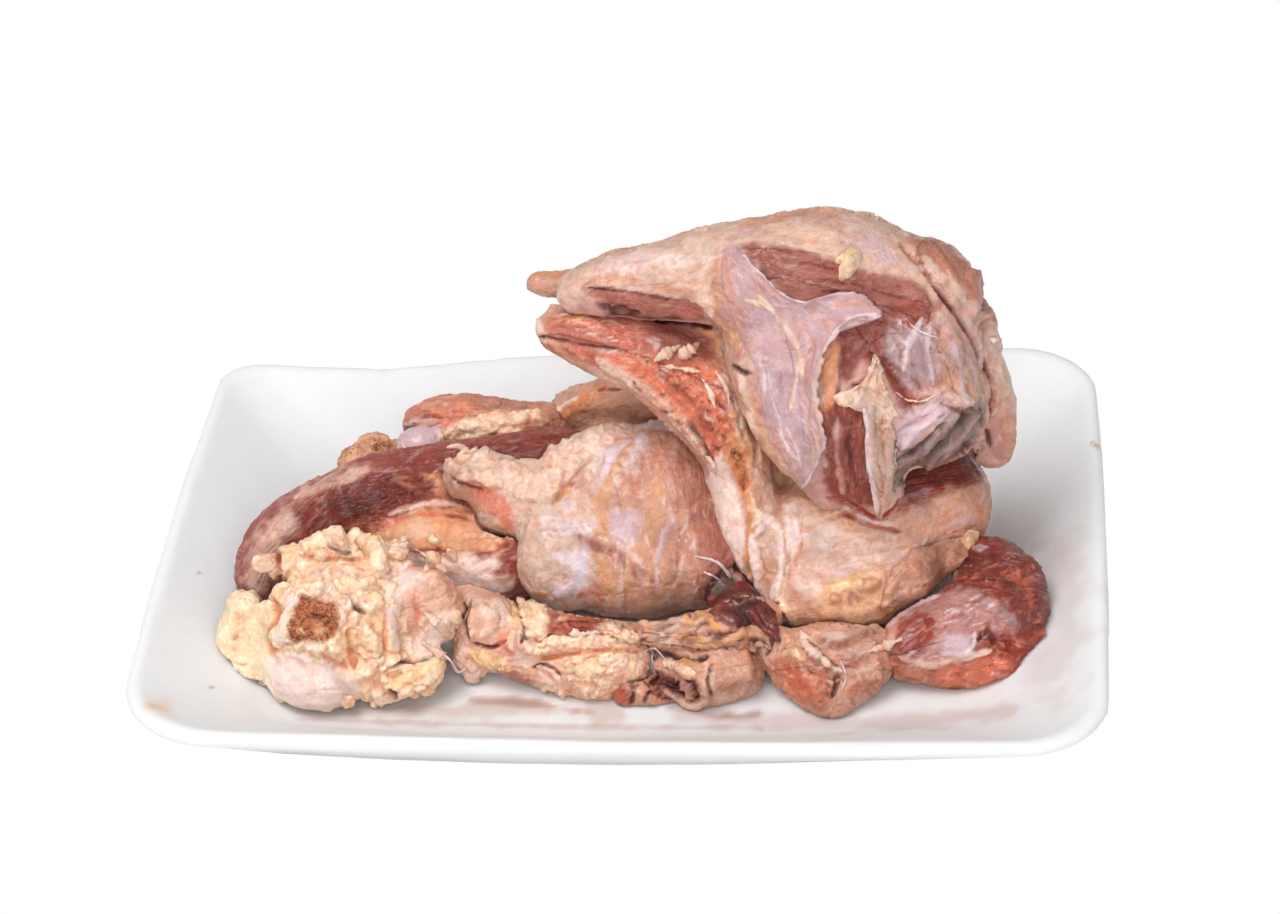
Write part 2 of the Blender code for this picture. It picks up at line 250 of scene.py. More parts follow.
# Finishes of the meat: colour, then how fibrous, lumpy, glossy and spongy it is
finishes = {
    "creamFat": ((255, 230, 201), 0.0, 1.0, 0.3, 0.0),
    "smoothFat": ((252, 226, 188), 0.0, 0.1, 0.5, 0.0),
    "yellowFat": ((246, 212, 160), 0.0, 0.6, 0.5, 0.0),
    "goldFat": ((226, 165, 100), 0.0, 0.3, 0.5, 0.0),
    "orangeFat": ((222, 148, 98), 0.0, 0.3, 0.5, 0.0),
    "cartilage": ((243, 217, 206), 0.0, 0.0, 0.9, 0.0),
    "lilacCartilage": ((226, 198, 190), 0.0, 0.0, 0.9, 0.0),
    "spongeBone": ((190, 120, 80), 0.0, 0.2, 0.2, 1.0),
    "spongeDark": ((146, 82, 58), 0.0, 0.2, 0.2, 1.0),
    "spongePale": ((226, 170, 134), 0.0, 0.4, 0.2, 0.5),
    "tanMeat": ((218, 168, 140), 0.2, 0.1, 0.5, 0.0),
    "pinkTan": ((230, 178, 152), 0.1, 0.2, 0.5, 0.0),
    "coral": ((230, 145, 118), 0.3, 0.2, 0.5, 0.0),
    "orangeBone": ((228, 158, 112), 0.1, 0.0, 0.6, 0.0),
    "skinPale": ((214, 182, 164), 0.0, 0.15, 0.5, 0.0),
    "skinCream": ((236, 205, 186), 0.0, 0.3, 0.4, 0.0),
    "skinMauve": ((208, 160, 150), 0.1, 0.1, 0.6, 0.0),
    "skinTan": ((212, 160, 135), 0.2, 0.1, 0.4, 0.0),
    "skinBrown": ((190, 130, 108), 0.4, 0.1, 0.4, 0.0),
    "thighTan": ((202, 150, 128), 0.15, 0.1, 0.4, 0.0),
    "thighGold": ((214, 158, 116), 0.15, 0.0, 0.5, 0.0),
    "lilac": ((212, 180, 186), 0.0, 0.0, 1.0, 0.0),
    "flapLilac": ((206, 170, 174), 0.25, 0.0, 0.8, 0.0),
    "lilacWhite": ((226, 206, 210), 0.0, 0.0, 0.9, 0.0),
    "greyLilac": ((170, 138, 140), 0.1, 0.0, 0.9, 0.0),
    "olive": ((132, 108, 98), 0.2, 0.0, 0.7, 0.0),
    "oliveDark": ((88, 66, 56), 0.2, 0.0, 0.5, 0.0),
    "muscle": ((172, 86, 72), 1.0, 0.0, 0.4, 0.0),
    "muscleRose": ((198, 126, 112), 0.9, 0.0, 0.4, 0.0),
    "muscleSoft": ((172, 106, 92), 0.45, 0.0, 0.4, 0.0),
    "muscleDark": ((146, 60, 48), 1.0, 0.0, 0.4, 0.0),
    # the dark muscle colour below is also laid as painted shade in gaps and creases
    "muscleDeep": ((112, 46, 40), 0.8, 0.0, 0.4, 0.0),
    "muscleRust": ((170, 66, 46), 0.9, 0.0, 0.4, 0.0),
    "fibrePale": ((240, 200, 182), 0.8, 0.0, 0.4, 0.0),
    "muscleTan": ((218, 150, 122), 0.8, 0.0, 0.4, 0.0),
    "ribRed": ((214, 120, 96), 0.6, 0.5, 0.4, 0.0),
    "ribBright": ((234, 134, 102), 0.5, 0.5, 0.5, 0.0),
    "ribPink": ((206, 126, 106), 0.5, 0.2, 0.4, 0.0),
    "maroonMeat": ((176, 102, 88), 0.5, 0.0, 0.5, 0.0),
    "jawTan": ((218, 172, 138), 0.1, 0.5, 0.4, 0.0),
    "membraneRose": ((188, 134, 126), 0.3, 0.0, 0.9, 0.0),
    "bodyPale": ((226, 192, 176), 0.0, 0.1, 0.6, 0.0),
    "bodyFat": ((222, 172, 134), 0.0, 0.3, 0.4, 0.0),
    "rustTan": ((200, 130, 98), 0.3, 0.5, 0.4, 0.0),
    "rust": ((190, 92, 62), 0.2, 0.4, 0.6, 0.0),
    "ribRust": ((184, 92, 62), 0.7, 0.3, 0.4, 0.0),
    "bloodRed": ((160, 44, 32), 0.1, 0.2, 0.8, 0.0),
    "wine": ((112, 38, 34), 0.2, 0.2, 0.9, 0.0),
    # near-black red of clotted blood, also laid as painted shade in gaps, holes and creases
    "clot": ((70, 22, 18), 0.0, 0.1, 0.5, 0.0),
    # dark brown painted shade for gaps, folds and edges, also used for one small real speck
    "brownGap": ((112, 60, 42), 0.1, 0.2, 0.4, 0.0),
}
albedoGain = np.array([0.94, 0.95, 0.985])  # brings the finishes to the photo under these lights


def smoothPath(path, steps=5):  # a curve through listed points
    ends = [path[0], *path, path[-1]]
    if path[0] == path[-1]:
        ends = [path[-2], *path, path[1]]
    points = []
    for a, b, c, d in zip(ends, ends[1:], ends[2:], ends[3:]):
        for step in range(steps):
            t = step / steps
            points.append([
                0.5 * (2 * q + (r - p) * t + (2 * p - 5 * q + 4 * r - s) * t * t
                       + (3 * q - p - 3 * r + s) * t**3)
                for p, q, r, s in zip(a, b, c, d)
            ])
    points.append(list(path[-1]))
    return np.array(points, float)


def pathDistance(spots, curve):  # distance from each spot to a curve, and the place along it
    best = np.full(len(spots), 1e9)
    along = np.zeros(len(spots))
    side = np.zeros(len(spots))
    walked = 0.0
    for a, b in zip(curve, curve[1:]):
        run = b - a
        length = math.hypot(*run)
        if length < 1e-6:
            continue
        away = spots - a
        t = np.clip(away @ run / length**2, 0, 1)
        gap = np.hypot(*(away - t[:, None] * run).T)
        closer = gap < best
        best = np.where(closer, gap, best)
        along = np.where(closer, walked + t * length, along)
        side = np.where(closer, np.sign(run[0] * away[:, 1] - run[1] * away[:, 0]), side)
        walked += length
    return best, along, side


def insideOutline(spots, curve):
    inside = np.zeros(len(spots), bool)
    for (x0, y0), (x1, y1) in zip(curve, curve[1:]):
        if abs(y1 - y0) < 1e-9:
            continue
        crosses = (spots[:, 1] > y0) != (spots[:, 1] > y1)
        reach = x0 + (spots[:, 1] - y0) * (x1 - x0) / (y1 - y0)
        inside ^= crosses & (spots[:, 0] < reach)
    return inside


def visibleShare(spots, depth, normals, step=5.0, slack=0.004):  # 1 where the photo sees the surface
    wide, high = int(pictureWide // step) + 2, 402
    column = np.clip((spots[:, 0] // step).astype(int), 0, wide - 1)
    row = np.clip((spots[:, 1] // step).astype(int), 0, high - 2)
    cellAt = row * wide + column
    front = np.full(wide * high, 9.0)
    np.minimum.at(front, cellAt, depth)
    clear = depth < front[cellAt] + slack
    facing = smoothStep(-0.25, 0.05, normals @ np.array(viewBack))
    return clear * facing


def meshArrays(mesh):
    points = np.empty(len(mesh.vertices) * 3)
    mesh.vertices.foreach_get("co", points)
    normals = np.empty(len(mesh.vertices) * 3)
    mesh.vertices.foreach_get("normal", normals)
    return points.reshape(-1, 3), normals.reshape(-1, 3)


def modified(obj):  # the object's mesh with its modifiers applied
    graph = bpy.context.evaluated_depsgraph_get()
    mesh = bpy.data.meshes.new_from_object(obj.evaluated_get(graph))
    obj.modifiers.clear()
    return mesh


def fineCopy(name, node, grain, softening):  # a smooth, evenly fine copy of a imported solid
    joined = bmesh.new()
    joined.from_mesh(frame["nodes"][node].data)
    bmesh.ops.remove_doubles(joined, verts=joined.verts, dist=1e-6)
    mesh = bpy.data.meshes.new(name)
    joined.to_mesh(mesh)
    joined.free()
    obj = bpy.data.objects.new(name, mesh)
    bpy.context.scene.collection.objects.link(obj)
    finer = obj.modifiers.new("finer", "REMESH")
    finer.mode = "VOXEL"
    finer.voxel_size = grain * mm
    softer = obj.modifiers.new("softer", "SMOOTH")
    softer.factor = 0.5
    softer.iterations = softening
    obj.data = modified(obj)
    return obj


def startPiece(obj, base):
    points, normals = meshArrays(obj.data)
    spots, depth = photoPlace(points)
    count = len(points)
    colour, *traits = finishes[base]
    return {
        "object": obj,
        "points": points,
        "normals": normals,
        "spots": spots,
        "seen": visibleShare(spots, depth, normals),
        "colour": np.tile(brightness(colour) * albedoGain, (count, 1)),
        "traits": np.tile(np.array(traits, float), (count, 1)),
        "height": np.zeros(count),
        "wander": roughNoise(points, 3.0, 4, 3.7),
        "fade": roughNoise(points, 5.0, 3, 8.3),
    }


def layFinish(piece, rows, finish, share, traitShare=1.0):  # blends another finish into some vertices
    colour, *traits = finishes[finish]
    piece["colour"][rows] += (brightness(colour) * albedoGain - piece["colour"][rows]) * share[:, None]
    piece["traits"][rows] += (np.array(traits) - piece["traits"][rows]) * (share * traitShare)[:, None]


def markMask(piece, width, path):  # how much of a mark lies on each vertex
    curve = smoothPath(path)
    low = curve.min(0) - 3 * width - 8
    high = curve.max(0) + 3 * width + 8
    near = np.nonzero(((piece["spots"] > low) & (piece["spots"] < high)).all(1) & (piece["seen"] > 0))[0]
    mask = np.zeros(len(piece["spots"]))
    if not len(near):
        return mask
    spots = piece["spots"][near]
    distance, along, side = pathDistance(spots, curve)
    wander = piece["wander"][near]
    if path[0] == path[-1]:
        distance = np.where(insideOutline(spots, curve), -distance, distance)
        share = 1 - smoothStep(-width, width, distance + wander * (2.0 + width * 0.5))
    else:
        taper = np.minimum(1, 0.45 + np.minimum(along, along.max() - along) / (2.5 * width + 1e-6))
        share = 1 - smoothStep(0.35, 1.3, distance / (width * taper) + wander * 0.4)
        share *= smoothStep(-0.9, 0.1, piece["fade"][near]) * 0.45 + 0.55
    mask[near] = share * piece["seen"][near]
    return mask


def paintMarks(piece, marks):  # name: (finish, width or edge softness in pixels, relief in mm, path)
    for finish, width, relief, path in marks.values():
        mask = markMask(piece, width, path)
        layFinish(piece, slice(None), finish, mask)
        piece["height"] += relief * mask


def scatterDabs(piece, outline, finish, count, length, width, relief, turn, seed):
    # short strokes at about the given turn (degrees, None for any) inside an outline in the photo
    dice = np.random.default_rng(seed)
    curve = smoothPath(outline)
    low, high = curve.min(0), curve.max(0)
    tried = low + dice.random((count * 4, 2)) * (high - low)
    centres = tried[insideOutline(tried, curve)][:count]
    inReach = ((piece["spots"] > low - 20) & (piece["spots"] < high + 20)).all(1)
    near = np.nonzero(inReach & (piece["seen"] > 0))[0]
    spots, wander = piece["spots"][near], piece["wander"][near]
    for centre in centres:
        angle = math.radians(dice.uniform(0, 180) if turn is None else turn + dice.normal(0, 14))
        way = np.array([math.cos(angle), -math.sin(angle)])
        away = spots - centre
        long, wide = length * dice.uniform(0.5, 1.4) / 2, width * dice.uniform(0.6, 1.3) / 2
        along = away @ way
        across = away @ np.array([-way[1], way[0]]) + dice.normal(0, 0.12) * along**2 / long
        gap = np.sqrt((along / long) ** 2 + (across / wide) ** 2)
        share = (1 - smoothStep(0.3, 1.3, gap + wander * 0.4)) * piece["seen"][near]
        share = share * dice.uniform(0.2, 0.75)
        rows = near[share > 0.01]
        share = share[share > 0.01]
        layFinish(piece, rows, finish, share)
        piece["height"][rows] += relief * share


def scatterAllDabs(piece, groups):  # outlines with strokes: finish, count, length, width, relief, turn
    seed = 0
    for outline, strokes in groups:
        for stroke in strokes:
            seed += 1
            scatterDabs(piece, outline, *stroke, seed)


def mottle(piece, finish, cell, level, strength, shift=0.0, where=1.0):  # soft blotches of another finish
    blotch = smoothStep(level, level + 0.5, roughNoise(piece["points"], cell, 3, shift)) * strength * where
    layFinish(piece, slice(None), finish, blotch, 0.7)


photoScale = 0.25  # mm along the heap for a pixel of the photo


def layFibres(piece, guides):  # place across and along the fibres, in millimetres
    spots = piece["spots"]
    best = np.full(len(spots), 1e9)
    flow = np.zeros((len(spots), 3))
    for number, path in enumerate(guides):
        distance, along, side = pathDistance(spots, smoothPath(path, 4))
        closer = distance < best
        best = np.where(closer, distance, best)
        apart = np.full(len(spots), number * 7.0)
        here = np.stack([distance * side * photoScale, along * photoScale, apart], 1)
        flow[closer] = here[closer]
    bend = roughNoise(piece["points"], 9.0, 2, 5.1)
    flow[:, 0] += bend * 1.2
    piece["flow"] = flow


def lumpRelief(piece, relief):  # rounded lumps in three sizes: height, creases between them, tone of each
    points, lump = piece["points"], piece["traits"][:, 1]
    height, shade, tone = np.zeros((3, len(points)))
    layers = (  # share of the height, share of the size, place in the noise
        (1.0, 1.0, 2.2),
        (relief.get("small lumps", 0.4), 0.45, 8.4),
        (0.10, 0.2, 4.6),
    )
    for share, cell, shift in layers:
        rounded, crease, own = lumpNoise(points, relief["lump size"] * cell, shift, 0.34)
        height += lump * relief["lump height"] * share * (rounded - 0.45 - 0.55 * crease + 0.7 * (own - 0.5))
        # shade: the creases between lumps, used later to paint shade into them
        shade += lump * crease * share**0.5
        tone += lump * (own - 0.5) * share
    return height, shade, tone


def fibreRelief(piece):  # long low ridges along the fibres
    streak = softNoise(piece["flow"] * (mm, 0.12 * mm, mm), 1.3, 4.0)
    streak += 0.5 * softNoise(piece["flow"] * (mm, 0.16 * mm, mm), 0.7, 7.0)
    return piece["traits"][:, 0] * 0.15 * streak


grainLayers = ((4.2, 0.30), (1.7, 0.16))  # small uneven cells of the surface: size and height, both in mm


def grainRelief(piece):  # height, brighter and darker cells, and the pits between them
    points = piece["points"]
    lump, gloss = piece["traits"][:, 1], piece["traits"][:, 2]
    height, detail, pits = np.zeros((3, len(points)))
    for cell, deep in grainLayers:
        rounded, crease, own = lumpNoise(points, cell, 40.0 + cell, 0.7)
        patch = smoothStep(-0.5, 0.4, softNoise(points, cell * 3, 31.0 + cell))
        height += deep * patch * (rounded - 0.5 - 0.6 * crease) * (1 - 0.75 * lump) * (1.15 - 0.9 * gloss)
        detail += (own - 0.5) * 0.24 * (1.1 - 0.7 * gloss)
        # the pits are used only to paint shade into the hollows between cells
        pits += crease * patch * 0.34 * (1.1 - 0.7 * gloss)
    return height, detail, pits


def skinLines(piece):  # winding folds, finer wrinkles and raised veins
    points = piece["points"]
    folds = thinLines(points, 9.0, 0.12, 3.0) * smoothStep(-0.1, 0.5, piece["fade"])
    wrinkles = thinLines(points, 3.4, 0.16, 17.0) * smoothStep(-0.2, 0.6, piece["wander"])
    veins = thinLines(points, 6.0, 0.10, 29.0) * smoothStep(0.0, 0.6, -piece["fade"])
    return folds, wrinkles, veins


def poreRelief(piece):  # open holes of sawn bone
    points, sponge = piece["points"], piece["traits"][:, 3]
    holes, holeEdge, holeOwn = lumpNoise(points, 1.6, 5.0, 0.3)
    return sponge * (0.25 * roughNoise(points, 1.2, 2, 9.0) - 0.7 * (holeOwn > 0.5) * holes)


# Painted shade: the fold tint and the crease colour below darken folds, wrinkles, pits, creases and sunk
# hollows; the vein colour is the veins' own
foldShadeTint = np.array([0.90, 0.68, 0.58])
veinColour = (238, 206, 186)
creaseShadeColour = (206, 140, 92)
boxSlack = 0.004  # m that the relief may stand past the box
trayFloor = 3.3  # mm, just above the inside of the tray


def tintPiece(piece, relief, shade, tone, detail, pits, skinny, lines):  # colours that follow the relief
    points, colour = piece["points"], piece["colour"]
    fibre, lump, gloss, sponge = piece["traits"].T
    folds, wrinkles, veins = lines
    gap = brightness(creaseShadeColour)
    # painted shade: creases between lumps and sunk relief are darkened towards a warm brown
    shadeShare = np.clip(shade * 0.30 + np.clip(-piece["height"] - 0.3, 0, 1) * 0.2, 0, 0.7)[:, None]
    colour += (colour * gap * 1.5 - colour) * shadeShare
    # painted shade in the folds and wrinkles of skin
    colour *= 1 - (1 - foldShadeTint) * (skinny * np.clip(0.9 * folds + 0.7 * wrinkles, 0, 1))[:, None]
    colour += (brightness(veinColour) - colour) * (0.35 * (skinny + 0.6 * fibre) * veins)[:, None]
    # random lighter and darker cells, and painted shade in the pits between them
    colour *= (1 + detail[:, None]) * (1 - (1 - foldShadeTint) * np.clip(pits, 0, 1)[:, None])
    colour *= 1 + 0.08 * roughNoise(points, 5.0, 3, 2.5)[:, None] + tone[:, None] * 0.14
    warm = roughNoise(points, 3.5, 3, 14.0)[:, None] * (0.25 + 0.75 * lump[:, None])
    colour *= 1 + warm * np.array([0.02, -0.05, -0.14])
    return np.clip(colour, 0.003, 1)


def movedPoints(piece, relief, height):  # the relief raised, kept inside the part's box and above the tray
    out = piece["normals"] * height[:, None] * mm
    moved = piece["points"] + out + np.array(relief.get("shift", (0, 0, 0))) * mm
    low, high = np.array(cadBox[0]), np.array(cadBox[1])
    moved = np.clip(moved, low - boxSlack, high + boxSlack)
    moved[:, 2] = np.maximum(moved[:, 2], trayFloor * mm)
    return moved


def handOver(obj, moved, attributes, material, node):  # the finished mesh goes to the frame
    mesh = obj.data
    mesh.vertices.foreach_set("co", moved.ravel())
    for name, values in attributes.items():
        kind, field = ("FLOAT_VECTOR", "vector") if values.shape[1] == 3 else ("FLOAT_COLOR", "color")
        mesh.attributes.new(name, kind, "POINT").data.foreach_set(field, values.ravel())
    mesh.materials.clear()
    mesh.materials.append(material)
    mesh.shade_smooth()
    mesh.update()
    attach(obj, "root")
    if node:
        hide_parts(node)
    print(obj.name, len(mesh.polygons), "faces")


def finishPiece(piece, relief, material, node):
    points = piece["points"]
    fibre, lump, gloss, sponge = piece["traits"].T
    lumps, shade, tone = lumpRelief(piece, relief)
    grain, detail, pits = grainRelief(piece)
    skinny = np.clip(1 - fibre - lump * 0.6 - sponge, 0, 1) * relief.get("creases", 0.7)
    lines = folds, wrinkles, veins = skinLines(piece)
    height = piece["height"] + relief["swell"] * softNoise(points, 14.0, 6.0)
    height += relief.get("fine", 0.16) * roughNoise(points, 2.6, 4, 1.0)
    height += lumps + fibreRelief(piece) + grain + poreRelief(piece)
    height += skinny * (0.22 * veins - 0.30 * folds - 0.16 * wrinkles) + relief.get("inset", 0.0)
    colour = tintPiece(piece, relief, shade, tone, detail, pits, skinny, lines)
    attributes = {
        "paint": np.concatenate([colour, np.ones((len(points), 1))], 1),
        "traits": np.stack([fibre, gloss, sponge, lump], 1),
        "flow": piece["flow"],
    }
    handOver(piece["object"], movedPoints(piece, relief, height), attributes, material, node)


# Shader helpers
def newTree(name, inputs, outputs):
    tree = bpy.data.node_groups.new(name, "ShaderNodeTree")
    for label, kind, value in inputs:
        socket = tree.interface.new_socket(label, in_out="INPUT", socket_type=kind)
        if value is not None:
            socket.default_value = value
    for label, kind in outputs:
        tree.interface.new_socket(label, in_out="OUTPUT", socket_type=kind)
    return tree, tree.nodes.new("NodeGroupInput"), tree.nodes.new("NodeGroupOutput")


def addNode(tree, kind, values=None, **settings):
    node = tree.nodes.new(kind)
    for key, value in settings.items():
        setattr(node, key, value)
    for key, value in (values or {}).items():
        if isinstance(value, bpy.types.NodeSocket):
            tree.links.new(value, node.inputs[key])
        else:
            node.inputs[key].default_value = value
    return node


def blendColours(tree, share, first, second, way="MIX"):
    mix = addNode(tree, "ShaderNodeMix", data_type="RGBA", blend_type=way)
    for socket, value in ((mix.inputs[0], share), (mix.inputs[6], first), (mix.inputs[7], second)):
        if isinstance(value, bpy.types.NodeSocket):
            tree.links.new(value, socket)
        else:
            socket.default_value = value
    return mix.outputs[2]


def calc(tree, operation, first, second=0.0, third=0.0):
    node = addNode(tree, "ShaderNodeMath", operation=operation)
    for socket, value in zip(node.inputs, (first, second, third)):
        if isinstance(value, bpy.types.NodeSocket):
            tree.links.new(value, socket)
        else:
            socket.default_value = value
    return node.outputs[0]


def ramp(tree, value, low, high, fromValue=0.0, toValue=1.0):
    node = addNode(tree, "ShaderNodeMapRange", {0: value, 1: low, 2: high, 3: fromValue, 4: toValue})
    return node.outputs[0]


def fibreGroup():  # fine streaks along the fibres and thin pale threads between them
    tree, start, end = newTree(
        "muscle fibres",
        (("Flow", "NodeSocketVector", None), ("Fineness", "NodeSocketFloat", 1.3)),
        (("Streak", "NodeSocketFloat"), ("Thread", "NodeSocketFloat"), ("Wrinkle", "NodeSocketFloat")),
    )

    def streaks(stretch, finer, detail, roughness):
        terms = {0: start.outputs["Flow"], 1: (1.0, stretch, 1.0)}
        scaled = addNode(tree, "ShaderNodeVectorMath", terms, operation="MULTIPLY")
        size = calc(tree, "MULTIPLY", start.outputs["Fineness"], finer)
        values = {"Vector": scaled.outputs[0], "Scale": size, "Detail": detail, "Roughness": roughness}
        return addNode(tree, "ShaderNodeTexNoise", values).outputs["Fac"]

    main = streaks(0.10, 1.0, 5.0, 0.68)
    threads = streaks(0.16, 0.8, 2.0, 0.5)
    patches = streaks(0.5, 0.22, 2.0, 0.5)
    wrinkles = streaks(3.0, 0.35, 3.0, 0.6)
    tree.links.new(ramp(tree, main, 0.34, 0.64), end.inputs["Streak"])
    ridge = ramp(tree, calc(tree, "ABSOLUTE", calc(tree, "SUBTRACT", threads, 0.5)), 0.0, 0.035, 1.0, 0.0)
    shown = calc(tree, "MULTIPLY", ridge, ramp(tree, patches, 0.42, 0.6))
    tree.links.new(shown, end.inputs["Thread"])
    tree.links.new(ramp(tree, wrinkles, 0.35, 0.65), end.inputs["Wrinkle"])
    return tree


def mottleGroup():  # uneven colour, fine specks, crumbs and the drying of a moist surface
    tree, start, end = newTree(
        "moist mottling",
        (("Scale", "NodeSocketFloat", 1.0),),
        (("Blotch", "NodeSocketFloat"), ("Speck", "NodeSocketFloat"), ("Grain", "NodeSocketFloat"),
         ("Film", "NodeSocketFloat"), ("Crease", "NodeSocketFloat"), ("Crumb", "NodeSocketFloat"),
         ("Warmth", "NodeSocketFloat")),
    )
    place = addNode(tree, "ShaderNodeTexCoord").outputs["Object"]

    def noiseAt(scale, detail, roughness, where=place):
        size = calc(tree, "MULTIPLY", start.outputs["Scale"], scale)
        values = {"Vector": where, "Scale": size, "Detail": detail, "Roughness": roughness}
        return addNode(tree, "ShaderNodeTexNoise", values)

    blotch = noiseAt(300.0, 6.0, 0.65)
    grain = noiseAt(1300.0, 4.0, 0.65)
    film = noiseAt(140.0, 4.0, 0.6)
    speck = noiseAt(800.0, 2.0, 0.5)
    warmth = noiseAt(420.0, 4.0, 0.6)
    terms = {0: blotch.outputs["Color"], 1: (0.003, 0.003, 0.003)}
    bent = addNode(tree, "ShaderNodeVectorMath", terms, operation="MULTIPLY")
    terms = {0: place, 1: bent.outputs[0]}
    shifted = addNode(tree, "ShaderNodeVectorMath", terms, operation="ADD").outputs[0]
    size = calc(tree, "MULTIPLY", start.outputs["Scale"], 560.0)
    values = {"Vector": shifted, "Scale": size}
    edges = addNode(tree, "ShaderNodeTexVoronoi", values, feature="DISTANCE_TO_EDGE")
    cells = addNode(tree, "ShaderNodeTexVoronoi", values)
    tree.links.new(ramp(tree, blotch.outputs["Fac"], 0.34, 0.66), end.inputs["Blotch"])
    tree.links.new(ramp(tree, speck.outputs["Fac"], 0.64, 0.74), end.inputs["Speck"])
    tree.links.new(grain.outputs["Fac"], end.inputs["Grain"])
    tree.links.new(ramp(tree, film.outputs["Fac"], 0.38, 0.62), end.inputs["Film"])
    # Crease: thin creases between crumbs, used in the meat material to paint shade into them
    tree.links.new(ramp(tree, edges.outputs["Distance"], 0.0, 0.12, 1.0, 0.0), end.inputs["Crease"])
    tree.links.new(ramp(tree, cells.outputs["Distance"], 0.0, 0.7, 1.0, 0.0), end.inputs["Crumb"])
    tree.links.new(ramp(tree, warmth.outputs["Fac"], 0.38, 0.62), end.inputs["Warmth"])
    return tree


def spongeGroup():  # open pores of sawn bone
    tree, start, end = newTree(
        "bone pores", (("Scale", "NodeSocketFloat", 1400.0),), (("Pore", "NodeSocketFloat"),))
    place = addNode(tree, "ShaderNodeTexCoord").outputs["Object"]
    values = {"Vector": place, "Scale": start.outputs["Scale"], "Detail": 3.0}
    rough = addNode(tree, "ShaderNodeTexNoise", values).outputs["Fac"]
    values = {"Vector": place, "Scale": 260.0, "Detail": 3.0}
    patchy = addNode(tree, "ShaderNodeTexNoise", values).outputs["Fac"]
    pore = calc(tree, "MULTIPLY", ramp(tree, rough, 0.50, 0.64), ramp(tree, patchy, 0.38, 0.6))
    tree.links.new(pore, end.inputs["Pore"])
    return tree


fibres = fibreGroup()
mottling = mottleGroup()
pores = spongeGroup()

meatLooks = {
    "fat": {"blotch": 0.35, "speck": 0.2, "coat": 0.32, "rough": 0.44, "grain": 0.5, "scale": 1.0},
    "skin": {"blotch": 0.5, "speck": 0.2, "coat": 0.36, "rough": 0.42, "grain": 0.5, "scale": 1.0},
    "dark_meat": {"blotch": 0.5, "speck": 0.15, "coat": 0.30, "rough": 0.44, "grain": 0.5, "scale": 1.0},
}


